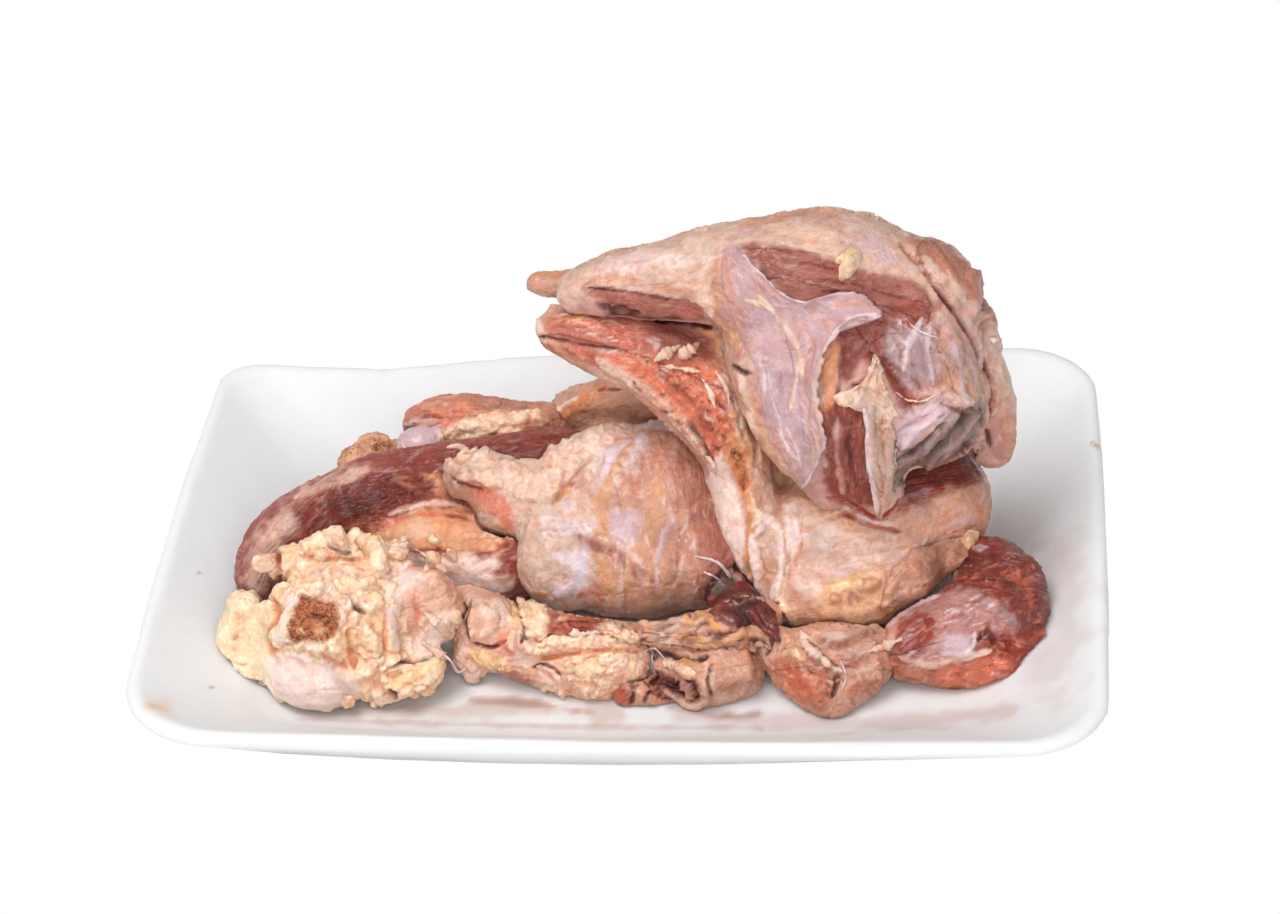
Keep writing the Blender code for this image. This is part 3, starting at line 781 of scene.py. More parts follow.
def meatMaterial(name):
    look = meatLooks[name]
    material = bpy.data.materials.new(name.replace("_", " "))
    material.use_nodes = True
    tree = material.node_tree
    shader = tree.nodes["Principled BSDF"]
    paint = addNode(tree, "ShaderNodeAttribute", attribute_name="paint").outputs["Color"]
    traits = addNode(tree, "ShaderNodeAttribute", attribute_name="traits")
    fibre, gloss, sponge = addNode(tree, "ShaderNodeSeparateColor", {0: traits.outputs["Color"]}).outputs
    lump = traits.outputs["Alpha"]
    flow = addNode(tree, "ShaderNodeAttribute", attribute_name="flow").outputs["Vector"]
    streaks = addNode(tree, "ShaderNodeGroup", node_tree=fibres)
    tree.links.new(flow, streaks.inputs["Flow"])
    spots = addNode(tree, "ShaderNodeGroup", node_tree=mottling)
    spots.inputs["Scale"].default_value = look["scale"]
    holes = addNode(tree, "ShaderNodeGroup", node_tree=pores)

    def tinted(colour, tone):
        return blendColours(tree, 1.0, colour, (*tone, 1), "MULTIPLY")

    def times(first, second):
        return calc(tree, "MULTIPLY", first, second)

    blotch = spots.outputs["Blotch"]
    darkShare = ramp(tree, blotch, 0.0, 0.6, look["blotch"], 0.0)
    colour = blendColours(tree, darkShare, paint, tinted(paint, (0.98, 0.86, 0.78)))
    paleShare = ramp(tree, blotch, 0.5, 1.0, 0.0, look["blotch"])
    colour = blendColours(tree, paleShare, colour, tinted(colour, (1.06, 1.10, 1.12)))
    warmth = times(spots.outputs["Warmth"], 0.35)
    colour = blendColours(tree, warmth, colour, tinted(colour, (1.0, 0.92, 0.80)))
    lineShare = times(ramp(tree, streaks.outputs["Streak"], 0.0, 1.0, 0.85, 0.0), fibre)
    colour = blendColours(tree, lineShare, colour, tinted(colour, (0.74, 0.52, 0.48)))
    threadShare = times(times(streaks.outputs["Thread"], fibre), 0.42)
    colour = blendColours(tree, threadShare, colour, (0.62, 0.36, 0.29, 1))
    speckShare = times(spots.outputs["Speck"], look["speck"])
    colour = blendColours(tree, speckShare, colour, tinted(colour, (0.66, 0.40, 0.30)))
    # painted shade: a darker, warmer colour in the creases between crumbs of fat
    creaseShadeShare = times(times(spots.outputs["Crease"], lump), 0.15)
    colour = blendColours(tree, creaseShadeShare, colour, tinted(colour, (0.88, 0.68, 0.52)))
    poreShare = times(holes.outputs["Pore"], sponge)
    colour = blendColours(tree, times(poreShare, 0.6), colour, (0.16, 0.055, 0.03, 1))
    tree.links.new(colour, shader.inputs["Base Color"])
    rough = calc(tree, "MULTIPLY_ADD", gloss, -0.14, look["rough"] + 0.04)
    rough = calc(tree, "ADD", rough, ramp(tree, spots.outputs["Grain"], 0.3, 0.7, -0.12, 0.12))
    tree.links.new(rough, shader.inputs["Roughness"])
    wet = calc(tree, "MULTIPLY_ADD", gloss, 0.55, look["coat"])
    wet = times(wet, ramp(tree, spots.outputs["Film"], 0.0, 1.0, 0.15, 1.0))
    tree.links.new(times(wet, calc(tree, "SUBTRACT", 1.0, times(sponge, 0.8))), shader.inputs["Coat Weight"])
    shader.inputs["Coat Roughness"].default_value = 0.16
    shader.inputs["Subsurface Weight"].default_value = 0.14
    shader.inputs["Subsurface Radius"].default_value = (1.0, 0.45, 0.3)
    shader.inputs["Subsurface Scale"].default_value = 0.002
    shader.inputs["Specular IOR Level"].default_value = 0.42
    height = times(spots.outputs["Grain"], look["grain"])
    height = calc(tree, "ADD", height, times(blotch, 0.4))
    fine = calc(tree, "ADD", times(streaks.outputs["Streak"], 0.9), times(streaks.outputs["Wrinkle"], 0.35))
    height = calc(tree, "ADD", height, times(fine, fibre))
    height = calc(tree, "ADD", height, times(times(spots.outputs["Crumb"], lump), 0.3))
    height = calc(tree, "SUBTRACT", height, times(poreShare, 1.8))
    bump = addNode(tree, "ShaderNodeBump", {"Height": height, "Strength": 0.9, "Distance": 0.0007})
    tree.links.new(bump.outputs["Normal"], shader.inputs["Normal"])
    return material


materials = {name: meatMaterial(name) for name in meatLooks}
print("meat materials")

hiddenBlotches = (("skinCream", 15, 0.15, 0.8), ("muscleRose", 12, 0.4, 0.7), ("creamFat", 8, 0.75, 0.8))


def decorate(piece, look, node=None):
    paintMarks(piece, look.get("marks", {}))
    scatterAllDabs(piece, look.get("dabs", ()))
    layFibres(piece, look["fibres"])
    finishPiece(piece, look["relief"], materials[look["slot"]], node)


def dressMeat(look):
    obj = fineCopy(look["name"], look["stands for"], look["grain"], look["softening"])
    piece = startPiece(obj, look["base"])
    for finish, cell, level, strength in look["blotches"]:
        mottle(piece, finish, cell, level, strength, shift=cell)
    hidden = 1 - piece["seen"]  # the sides that the photo doesn't show get soft folds and fat of their own
    for finish, cell, level, strength in hiddenBlotches:
        mottle(piece, finish, cell, level, strength, cell + 2.0, hidden)
    piece["height"] += hidden * 0.7 * roughNoise(piece["points"], 11.0, 3, 21.0)
    decorate(piece, look, look["stands for"])


knuckleLook = {
    "name": "fat_covered_knuckle_joint",
    "stands for": "knuckle_joint",
    "slot": "fat",
    "grain": 0.45,
    "softening": 5,
    "base": "creamFat",
    "blotches": [("yellowFat", 10, 0.0, 0.7), ("skinCream", 12, 0.3, 0.6), ("orangeFat", 6, 0.9, 0.5)],
    "relief": {
        "lump size": 7.0, "lump height": 1.7, "small lumps": 0.10, "fine": 0.04, "swell": 0.4, "inset": -0.7,
        "shift": (1.0, 0.0, -0.2)},
    "fibres": [[(230, 600), (300, 560), (380, 550)], [(240, 700), (340, 700), (440, 660)]],
    # Painted shade: lower left fold, fold beside fat, gap between lumps, upper gap, gap over middle, lower
    # gap, column side, column right side, line under cartilage, ledge edge, shadow over roll, dark notch and
    # right gap darken creases and gaps. Painted highlight: left shine.
    "marks": {
        "smooth left fat": ("smoothFat", 6, 0.3, [
            (192, 640), (192, 600), (214, 564), (250, 574), (262, 604), (266, 650), (256, 692), (220, 690),
            (192, 640)]),
        "left shine": ("creamFat", 6, -0.2, [(238, 600), (232, 640), (240, 670)]),
        "lower left fold": ("brownGap", 2.5, -0.9, [(226, 668), (238, 682), (258, 684)]),
        "tan lower edge": ("tanMeat", 5, 0.0, [(226, 680), (242, 698), (262, 707), (284, 707)]),
        "fold beside fat": ("orangeFat", 3, -0.9, [(262, 590), (270, 612), (262, 636), (270, 664)]),
        "red gap": ("ribRust", 5, -1.0, [(262, 540), (272, 556), (276, 580)]),
        "sawn bone": ("spongeBone", 2.5, -0.9, [
            (290, 600), (300, 592), (314, 594), (328, 602), (338, 618), (332, 640), (308, 645), (284, 641),
            (282, 622), (290, 600)]),
        "bone rim": ("cartilage", 4, 0.4, [(290, 594), (277, 616), (274, 646)]),
        "marrow": ("spongeDark", 4, -0.6, [(306, 612), (314, 616), (320, 613)]),
        "lump above bone": ("creamFat", 8, 1.0, [(312, 580), (330, 584)]),
        "gap between lumps": ("brownGap", 2.5, -1.4, [(352, 536), (362, 552), (364, 562)]),
        "upper gap": ("brownGap", 2.5, -1.2, [(322, 542), (334, 553), (346, 552)]),
        "round upper lump": ("creamFat", 12, 1.2, [(330, 536), (340, 540)]),
        "tall upper lump": ("creamFat", 12, 1.5, [(352, 530), (372, 540), (376, 556)]),
        "middle lump": ("creamFat", 14, 1.0, [(326, 566), (350, 572), (372, 570)]),
        "gap over middle": ("orangeFat", 2.5, -1.0, [(312, 556), (330, 558), (356, 560)]),
        "second middle lump": ("yellowFat", 9, 0.9, [(366, 590), (376, 606)]),
        "lower gap": ("brownGap", 3, -1.2, [(344, 586), (352, 604), (362, 612)]),
        "yellow column": ("creamFat", 9, 1.0, [(362, 624), (366, 650), (364, 676)]),
        "column side": ("orangeFat", 3, -0.8, [(346, 612), (346, 640), (350, 668)]),
        "column right side": ("orangeFat", 2.5, -0.8, [(384, 612), (382, 640), (384, 668)]),
        "pink bits": ("coral", 4, 0.3, [(320, 657), (332, 664), (344, 668)]),
        "crumbly ledge": ("creamFat", 6, 0.6, [(290, 650), (316, 648), (340, 652)]),
        "cartilage": ("cartilage", 4, 0.4, [
            (262, 664), (285, 654), (320, 662), (350, 674), (358, 692), (340, 708), (305, 713), (275, 705),
            (262, 664)]),
        "cartilage lilac": ("lilacCartilage", 7, 0.0, [(330, 678), (346, 690)]),
        "line under cartilage": ("brownGap", 2.2, -0.4, [(268, 704), (300, 714), (350, 715)]),
        "crumbs beside cartilage": ("creamFat", 9, 0.3, [(364, 690), (376, 704)]),
        "lilac top": ("cartilage", 5, 0.4, [
            (386, 572), (404, 558), (436, 556), (446, 566), (430, 578), (408, 582), (396, 600), (386, 600),
            (386, 572)]),
        "tan face": ("pinkTan", 4, -0.3, [
            (406, 586), (440, 574), (462, 590), (460, 606), (440, 612), (428, 628), (412, 640), (404, 620),
            (406, 586)]),
        "face streak": ("coral", 3, 0.0, [(408, 594), (412, 612), (416, 626)]),
        "pale ledge": ("pinkTan", 5, 0.2, [
            (404, 566), (430, 558), (462, 566), (474, 582), (470, 600), (452, 588), (430, 578), (404, 566)]),
        "ledge edge": ("brownGap", 2.2, -0.9, [(472, 586), (468, 602), (462, 622), (464, 640)]),
        "white rim": ("cartilage", 7, 0.6, [(392, 584), (390, 615), (394, 650)]),
        "ragged cream": ("cartilage", 5, 0.5, [
            (430, 620), (446, 618), (452, 640), (436, 656), (412, 652), (414, 642), (430, 620)]),
        "yellow roll": ("yellowFat", 7, 1.0, [(386, 684), (404, 676), (424, 668), (434, 660)]),
        "roll end": ("creamFat", 6, 0.8, [(400, 692), (424, 684)]),
        "shadow over roll": ("brownGap", 2.5, -1.2, [(380, 672), (396, 662), (420, 656), (436, 650)]),
        "dark notch": ("clot", 4, -1.2, [(386, 690), (392, 700)]),
        "right gap": ("muscleDeep", 5, -1.5, [(462, 620), (464, 640), (456, 658)]),
        "cream rag": ("creamFat", 5, 0.6, [(386, 548), (402, 544), (420, 552)]),
    },
    "dabs": [
        ([(280, 560), (330, 530), (390, 545), (385, 600), (340, 600), (280, 590), (280, 560)], [
            ("creamFat", 16, 26, 19, 0.9, None)]),
        ([(260, 560), (330, 530), (390, 545), (385, 680), (340, 660), (270, 650), (260, 560)], [
            ("yellowFat", 8, 20, 14, 0.6, None)]),
        ([(345, 600), (388, 600), (390, 700), (350, 712), (345, 600)], [
            ("creamFat", 8, 24, 15, 0.8, None)]),
        # painted shade: thin orange strokes sunk into the creases between lumps (this group and the next)
        ([(280, 545), (390, 540), (385, 600), (290, 595), (280, 545)], [
            ("orangeFat", 12, 16, 3, -0.9, None)]),
        ([(346, 600), (388, 600), (390, 700), (350, 712), (346, 600)], [
            ("orangeFat", 8, 14, 3, -0.9, None)]),
        ([(410, 585), (455, 575), (460, 610), (415, 640), (410, 585)], [
            ("skinTan", 8, 22, 3, -0.2, 20)]),
        ([(410, 625), (450, 618), (456, 645), (430, 658), (410, 650), (410, 625)], [
            ("creamFat", 14, 9, 5, 0.6, None)]),
    ],
}

shoulderLook = {
    "name": "long_dark_shoulder_muscle",
    "stands for": "shoulder_strip",
    "slot": "dark_meat",
    "grain": 0.6,
    "softening": 5,
    "base": "muscle",
    "blotches": [("muscleRust", 12, 0.1, 0.6), ("muscleTan", 16, 0.7, 0.6), ("muscleDark", 10, 0.5, 0.6)],
    "relief": {
        "inset": -1.4, "shift": (0.9, -0.6, -0.6), "lump size": 9.0, "lump height": 0.6, "swell": 0.8,
    },
    "fibres": [
        [(236, 585), (262, 535), (310, 495), (400, 464), (560, 436)],
        [(260, 600), (290, 550), (360, 525), (430, 512), (520, 500)],
        [(400, 560), (450, 565), (510, 560)],
    ],
    # Painted highlight: upper edge lightens the top edge where light falls. Pale ledge is the ledge's own
    # pale colour, painted lighter still to lift its shade.
    "marks": {
        "tan end": ("fibrePale", 8, 0.2, [
            (236, 580), (242, 545), (262, 515), (300, 486), (340, 466), (362, 466), (330, 492), (302, 522),
            (292, 556), (270, 584), (248, 592), (236, 580)]),
        "dark core": ("muscleDark", 7, 0.0, [
            (288, 500), (330, 478), (400, 466), (430, 476), (400, 502), (350, 524), (305, 530), (288, 500)]),
        "deep middle": ("muscleDeep", 8, -0.4, [
            (330, 497), (355, 488), (380, 494), (370, 512), (340, 518), (330, 497)]),
        "red front": ("muscleRust", 8, 0.2, [
            (282, 534), (330, 526), (385, 514), (402, 532), (380, 552), (320, 558), (285, 562), (282, 534)]),
        "upper edge": ("fibrePale", 8, 0.3, [(290, 490), (316, 476), (340, 469), (362, 464)]),
        "orange plate": ("orangeBone", 5, 0.2, [
            (370, 524), (400, 510), (440, 500), (500, 510), (507, 540), (470, 548), (420, 548), (372, 546),
            (370, 524)]),
        "red streak": ("ribBright", 3, 0.0, [(372, 524), (410, 513), (442, 507)]),
        "second red streak": ("ribRust", 3, -0.2, [(440, 508), (480, 518), (508, 540)]),
        "plate left": ("bodyFat", 8, 0.0, [(384, 540), (400, 524), (424, 516)]),
        "cream streak": ("skinCream", 3, 0.5, [(384, 512), (420, 500), (460, 498), (500, 514)]),
        "orange streak": ("orangeBone", 9, 0.2, [(424, 472), (446, 482), (470, 492), (488, 502)]),
        "fatty patch": ("pinkTan", 6, 0.4, [
            (465, 485), (510, 486), (516, 524), (490, 534), (466, 516), (465, 485)]),
        "yellow bit": ("goldFat", 5, 0.5, [(504, 530), (511, 533)]),
        "pale ledge": ("cartilage", 6, 1.0, [
            (405, 554), (440, 552), (506, 553), (506, 590), (470, 598), (440, 592), (410, 576), (405, 554)]),
        "ledge line": ("ribRust", 2, -0.5, [(400, 547), (450, 549), (504, 549)]),
        "cream bit": ("creamFat", 6, 0.6, [(428, 566), (436, 567)]),
        "second cream bit": ("creamFat", 5, 0.5, [(446, 568), (452, 570)]),
        "brown patch": ("muscleRust", 5, 0.0, [(495, 540), (512, 540), (516, 568), (498, 572), (495, 540)]),
        "red nub": ("bloodRed", 5, 0.5, [(433, 538), (435, 550)]),
    },
    "dabs": [
        ([(240, 570), (262, 520), (310, 480), (340, 474), (320, 530), (270, 580), (240, 570)], [
            ("muscleTan", 40, 22, 3, 0.3, 52), ("muscle", 18, 22, 3, -0.4, 52)]),
        ([(290, 500), (330, 474), (440, 460), (430, 490), (350, 526), (300, 530), (290, 500)], [
            ("muscleDeep", 40, 18, 5, -0.4, 24)]),
        ([(290, 500), (330, 474), (400, 462), (430, 490), (350, 526), (300, 530), (290, 500)], [
            ("muscleRose", 44, 12, 1.8, 0.3, None)]),
        ([(380, 452), (560, 430), (560, 450), (460, 462), (400, 470), (380, 452)], [
            ("muscleDark", 24, 26, 5, -0.2, 8), ("greyLilac", 16, 20, 4, 0.2, 10)]),
        ([(400, 468), (480, 466), (512, 500), (500, 512), (430, 500), (400, 468)], [
            ("orangeBone", 20, 26, 6, 0.2, -26), ("ribRust", 7, 22, 4, -0.3, -26)]),
        ([(372, 512), (505, 505), (505, 545), (375, 545), (372, 512)], [
            ("bodyFat", 14, 34, 8, 0.1, 4)]),
        ([(405, 550), (505, 548), (505, 590), (420, 585), (405, 550)], [
            ("skinCream", 16, 16, 6, 0.4, 10), ("skinBrown", 8, 20, 3, -0.4, 0)]),
    ],
}

backLook = {
    "name": "small_joint_at_the_back",
    "stands for": "back_joint",
    "slot": "dark_meat",
    "grain": 0.55,
    "softening": 5,
    "base": "muscleTan",
    "blotches": [("coral", 10, 0.2, 0.5), ("pinkTan", 13, 0.4, 0.7), ("muscle", 9, 0.8, 0.6)],
    "relief": {
        "inset": -1.0, "shift": (0.6, -1.0, -1.6), "lump size": 6.0, "lump height": 0.9, "swell": 0.5,
    },
    "fibres": [[(350, 450), (430, 420), (545, 410)], [(400, 400), (480, 400)]],
    "marks": {
        "red muscle": ("coral", 5, 0.3, [
            (400, 418), (420, 400), (470, 396), (486, 410), (460, 426), (430, 416), (400, 418)]),
        "sawn bone": ("spongePale", 5, 2.4, [
            (342, 448), (360, 430), (390, 430), (398, 466), (374, 480), (346, 478), (342, 448)]),
        "dark sawn bone": ("spongeBone", 5, 0.0, [(372, 444), (390, 440), (394, 456)]),
        "lilac knob": ("lilac", 4, 0.8, [
            (396, 420), (415, 412), (438, 420), (441, 440), (420, 449), (400, 446), (396, 420)]),
        "orange edge": ("rustTan", 6, 0.0, [(396, 450), (420, 456), (444, 452)]),
        "tan tip": ("skinTan", 3, 0.0, [(415, 404), (432, 394), (452, 400)]),
        "cream fat": ("creamFat", 5, 0.6, [
            (440, 426), (470, 408), (520, 402), (548, 410), (540, 430), (500, 436), (460, 438), (440, 426)]),
        "orange patch": ("rustTan", 5, 0.0, [(520, 415), (546, 413), (548, 432), (524, 434), (520, 415)]),
        "dark muscle": ("muscle", 5, 0.0, [
            (430, 444), (470, 436), (540, 436), (562, 448), (520, 457), (450, 460), (430, 444)]),
    },
    "dabs": [
        ([(400, 415), (420, 400), (480, 396), (486, 410), (430, 424), (400, 415)], [
            ("muscle", 10, 24, 3, -0.1, 5)]),
        ([(440, 425), (545, 402), (548, 430), (460, 438), (440, 425)], [
            ("creamFat", 16, 12, 6, 0.5, 10)]),
        ([(345, 440), (395, 432), (398, 465), (345, 470), (345, 440)], [
            ("spongePale", 12, 6, 4, 0.4, None)]),
    ],
}

plateLook = {
    "name": "flat_rib_plate",
    "stands for": "rib_plate",
    "slot": "skin",
    "grain": 0.6,
    "softening": 5,
    "base": "tanMeat",
    "blotches": [("skinTan", 10, 0.3, 0.6), ("skinCream", 8, 0.5, 0.5)],
    "relief": {"inset": -0.6, "shift": (0.6, 0.0, -1.6), "lump size": 5.0, "lump height": 0.6, "swell": 0.4},
    "fibres": [[(550, 420), (620, 390), (700, 380)]],
    "marks": {
        "lumpy edge": ("orangeFat", 9, 0.5, [(546, 432), (556, 412), (578, 396), (604, 380)]),
        "cream edge": ("creamFat", 4, 0.5, [(544, 428), (552, 408), (574, 390)]),
        "pale middle": ("tanMeat", 8, 0.0, [(600, 400), (640, 395), (690, 400)]),
        "red line": ("ribRust", 3, -0.3, [(596, 384), (640, 380), (680, 384)]),
    },
}

tailLook = {
    "name": "tip_of_skin_behind_the_heap",
    "stands for": "tail_tip",
    "slot": "skin",
    "grain": 0.5,
    "softening": 4,
    "base": "skinTan",
    "blotches": [("orangeFat", 8, 0.1, 0.6), ("skinCream", 9, 0.5, 0.7)],
    "relief": {"lump size": 4.0, "lump height": 0.4, "swell": 0.3},
    "fibres": [[(524, 290), (562, 280)]],
    "marks": {
        "orange top": ("orangeFat", 5, 0.0, [(530, 276), (548, 270), (562, 272)]),
        "pale foot": ("skinCream", 5, 0.0, [(526, 298), (545, 296)]),
    },
}

thighLook = {
    "name": "skin_covered_thigh",
    "stands for": "thigh",
    "slot": "skin",
    "grain": 0.5,
    "softening": 5,
    "base": "skinPale",
    "blotches": [("skinTan", 14, 0.0, 0.7), ("coral", 10, 0.7, 0.4), ("skinCream", 12, 0.4, 0.7)],
    "relief": {"lump size": 5.0, "lump height": 1.0, "swell": 0.9, "creases": 1.1, "fine": 0.2},
    "fibres": [
        [(560, 420), (590, 500), (600, 600)],
        [(620, 430), (650, 500), (650, 610)],
        [(690, 430), (705, 500), (700, 600)],
    ],
    # Painted shade: groove, flap line and black gap darken the groove, the edge under the flap and the hole
    # at the right. Painted light: groove light beside the groove, and lilac above, lighter than the skin
    # there to lift the shadow of the ribs above.
    "marks": {
        "tan skin": ("thighTan", 14, 0.0, [
            (640, 420), (700, 425), (735, 520), (735, 590), (690, 612), (600, 618), (592, 560), (590, 500),
            (620, 450), (640, 420)]),
        "brown right": ("skinBrown", 12, 0.0, [
            (668, 412), (735, 430), (742, 520), (738, 590), (706, 604), (690, 560), (676, 490), (668, 412)]),
        "dark right": ("muscleSoft", 14, 0.0, [(708, 440), (722, 480), (724, 530), (718, 566), (702, 598)]),
        "cream skin": ("skinCream", 6, 0.5, [
            (552, 455), (560, 436), (580, 420), (610, 408), (640, 402), (668, 414), (640, 430), (606, 444),
            (584, 466), (566, 486), (552, 455)]),
        "lilac band": ("lilacWhite", 8, 0.1, [
            (596, 470), (604, 450), (626, 440), (650, 440), (640, 456), (622, 478), (600, 492), (596, 470)]),
        "lilac centre": ("lilac", 8, 0.1, [
            (610, 516), (632, 510), (644, 524), (636, 548), (616, 544), (610, 516)]),
        "lilac right": ("skinMauve", 7, 0.1, [(664, 530), (680, 520), (692, 510)]),
        "lilac above": ("lilacWhite", 12, 0.0, [(640, 424), (660, 420), (676, 428)]),
        "gold band": ("thighGold", 8, 0.2, [(632, 446), (614, 474), (602, 500), (597, 530), (598, 560)]),
        "gold band two": ("thighGold", 9, 0.2, [(664, 470), (660, 500), (648, 530), (636, 560), (622, 592)]),
        "gold band three": ("thighTan", 8, 0.1, [(676, 440), (668, 470), (676, 500)]),
        "gold low": ("thighGold", 8, 0.2, [(602, 560), (604, 584), (612, 604)]),
        "pale streak": ("skinPale", 4, 0.2, [(626, 560), (622, 584), (618, 606)]),
        "second pale streak": ("skinPale", 3, 0.2, [(682, 560), (678, 580), (668, 600)]),
        "third pale streak": ("lilac", 3, 0.2, [(664, 530), (660, 548), (656, 562)]),
        "crack": ("goldFat", 4, -0.9, [(554, 502), (562, 494), (572, 484)]),
        "crack shadow": ("tanMeat", 2.5, -0.5, [(552, 500), (564, 488), (578, 474), (592, 458)]),
        "fat patch": ("skinPale", 8, 0.3, [
            (530, 500), (560, 500), (590, 500), (590, 530), (590, 590), (560, 612), (530, 596), (522, 560),
            (530, 500)]),
        "lilac left": ("lilacWhite", 12, 0.1, [(556, 556), (576, 560), (580, 584), (556, 590)]),
        "lilac upper left": ("lilacWhite", 7, 0.1, [(540, 520), (570, 526), (590, 530)]),
        "coral edge": ("coral", 5, 0.0, [(578, 596), (592, 590), (604, 600)]),
        "yellow bits": ("goldFat", 3, 0.3, [(536, 590), (548, 594)]),
        "groove": ("muscleSoft", 6, -0.6, [(580, 536), (594, 546), (612, 552), (634, 572), (652, 582)]),
        "groove light": ("skinPale", 4, 0.5, [(598, 538), (616, 544), (640, 562)]),
        "bottom line": ("bloodRed", 3, -0.5, [(556, 616), (580, 616), (600, 619), (640, 624)]),
        "fat flap": ("skinCream", 3, 1.0, [
            (445, 458), (460, 447), (478, 450), (520, 448), (560, 455), (556, 498), (520, 500), (500, 490),
            (470, 480), (445, 458)]),
        "orange under flap": ("coral", 6, 0.0, [
            (470, 484), (496, 492), (512, 504), (512, 534), (494, 520), (478, 500), (470, 484)]),
        "flap line": ("brownGap", 2, -0.7, [(448, 474), (462, 484), (480, 490)]),
        "tip fold": ("tanMeat", 2.5, -0.8, [(452, 456), (462, 462), (474, 452), (482, 446)]),
        "olive patch": ("oliveDark", 6, -0.8, [
            (708, 590), (722, 572), (740, 566), (748, 600), (716, 612), (708, 590)]),
        "black gap": ("clot", 5, -1.0, [(722, 582), (732, 588), (738, 598)]),
    },
    "dabs": [
        ([(650, 480), (690, 450), (700, 600), (600, 612), (596, 530), (650, 480)], [
            ("thighGold", 26, 44, 9, 0.1, 98)]),
        ([(590, 450), (690, 430), (700, 600), (600, 612), (590, 450)], [
            ("lilacWhite", 26, 24, 3.5, 0.15, 98)]),
        ([(600, 450), (690, 430), (690, 600), (610, 612), (600, 450)], [
            ("skinMauve", 26, 26, 6, -0.1, 98)]),
        ([(680, 430), (740, 450), (740, 590), (690, 600), (680, 430)], [
            ("maroonMeat", 44, 26, 7, -0.15, 96), ("skinPale", 14, 16, 2, 0.1, 100)]),
        ([(512, 500), (590, 505), (590, 600), (530, 606), (512, 500)], [
            ("lilacWhite", 16, 14, 8, 0.2, None), ("coral", 22, 10, 3, -0.3, None)]),
        ([(450, 450), (556, 452), (556, 500), (500, 492), (450, 450)], [
            ("coral", 18, 9, 2.5, -0.5, None), ("creamFat", 16, 12, 8, 0.5, None)]),
        ([(556, 430), (650, 405), (655, 430), (600, 444), (566, 480), (556, 430)], [
            ("skinTan", 20, 9, 3, -0.5, None), ("creamFat", 18, 12, 7, 0.5, None)]),
        ([(600, 590), (700, 590), (690, 612), (600, 618), (600, 590)], [
            ("skinTan", 14, 24, 3, -0.3, 8)]),
    ],
}

gristleLook = {
    "name": "knot_of_gristle",
    "stands for": "gristle_knot",
    "slot": "fat",
    "grain": 0.42,
    "softening": 4,
    "base": "pinkTan",
    "blotches": [("skinCream", 8, 0.0, 0.8), ("coral", 6, 0.5, 0.5), ("yellowFat", 9, 0.5, 0.6)],
    "relief": {"lump size": 4.2, "lump height": 1.3, "small lumps": 0.45, "swell": 0.6},
    "fibres": [[(470, 620), (540, 640), (640, 640)], [(490, 690), (610, 680)]],
    # Painted shade: gap left of lump, fold under lump, fold between rolls, dark gap and foot fold darken
    # gaps and folds. Painted highlights: lump shine and pale shine.
    "marks": {
        "rounded lump": ("skinCream", 8, 1.0, [(482, 606), (492, 622), (484, 634)]),
        "lump shine": ("cartilage", 5, 0.2, [(480, 608), (484, 618)]),
        "gap left of lump": ("brownGap", 3, -1.2, [(470, 600), (464, 618), (468, 640)]),
        "lower left lump": ("yellowFat", 8, 1.0, [(470, 654), (490, 660), (510, 668)]),
        "fold under lump": ("brownGap", 2.5, -1.2, [(472, 644), (490, 648), (506, 640)]),
        "lilac patch": ("lilacCartilage", 5, 0.5, [(500, 602), (506, 616), (502, 626)]),
        "orange fold": ("coral", 4, -0.4, [(508, 630), (500, 644), (512, 656)]),
        "orange brown": ("muscleTan", 6, 0.0, [(498, 672), (516, 676), (532, 684)]),
        "smooth pale": ("creamFat", 5, 0.6, [
            (560, 654), (590, 652), (616, 650), (614, 676), (594, 694), (572, 684), (560, 654)]),
        "pale shine": ("smoothFat", 6, 0.2, [(576, 668), (596, 672)]),
        "red area": ("ribRed", 4, -0.5, [
            (548, 616), (570, 608), (594, 612), (588, 632), (566, 640), (550, 634), (548, 616)]),
        "blood in fold": ("bloodRed", 3, -0.8, [(560, 622), (574, 618), (584, 626)]),
        "cream roll": ("creamFat", 8, 1.2, [(530, 652), (548, 644), (572, 642), (604, 642), (640, 640)]),
        "upper cream fold": ("creamFat", 5, 0.9, [
            (540, 612), (562, 606), (596, 608), (624, 616), (640, 628)]),
        "fold between rolls": ("orangeFat", 2.5, -1.0, [(540, 660), (570, 654), (610, 650), (640, 650)]),
        "dark gap": ("muscleDeep", 4, -1.5, [(522, 602), (526, 620), (521, 642)]),
        "knob on foot": ("cartilage", 5, 0.6, [(540, 674), (550, 684)]),
        "foot fold": ("brownGap", 2.5, -0.9, [(532, 668), (548, 666), (560, 676)]),
    },
    "dabs": [
        ([(465, 595), (520, 600), (520, 690), (470, 680), (465, 595)], [
            ("creamFat", 12, 11, 6, 0.5, None)]),
        ([(530, 605), (645, 610), (640, 690), (530, 690), (530, 605)], [
            ("creamFat", 20, 14, 7, 0.6, 10)]),
        ([(465, 600), (640, 610), (640, 690), (480, 690), (465, 600)], [
            ("coral", 16, 9, 3, -0.4, None), ("goldFat", 10, 7, 3, 0.2, None)]),
    ],
}

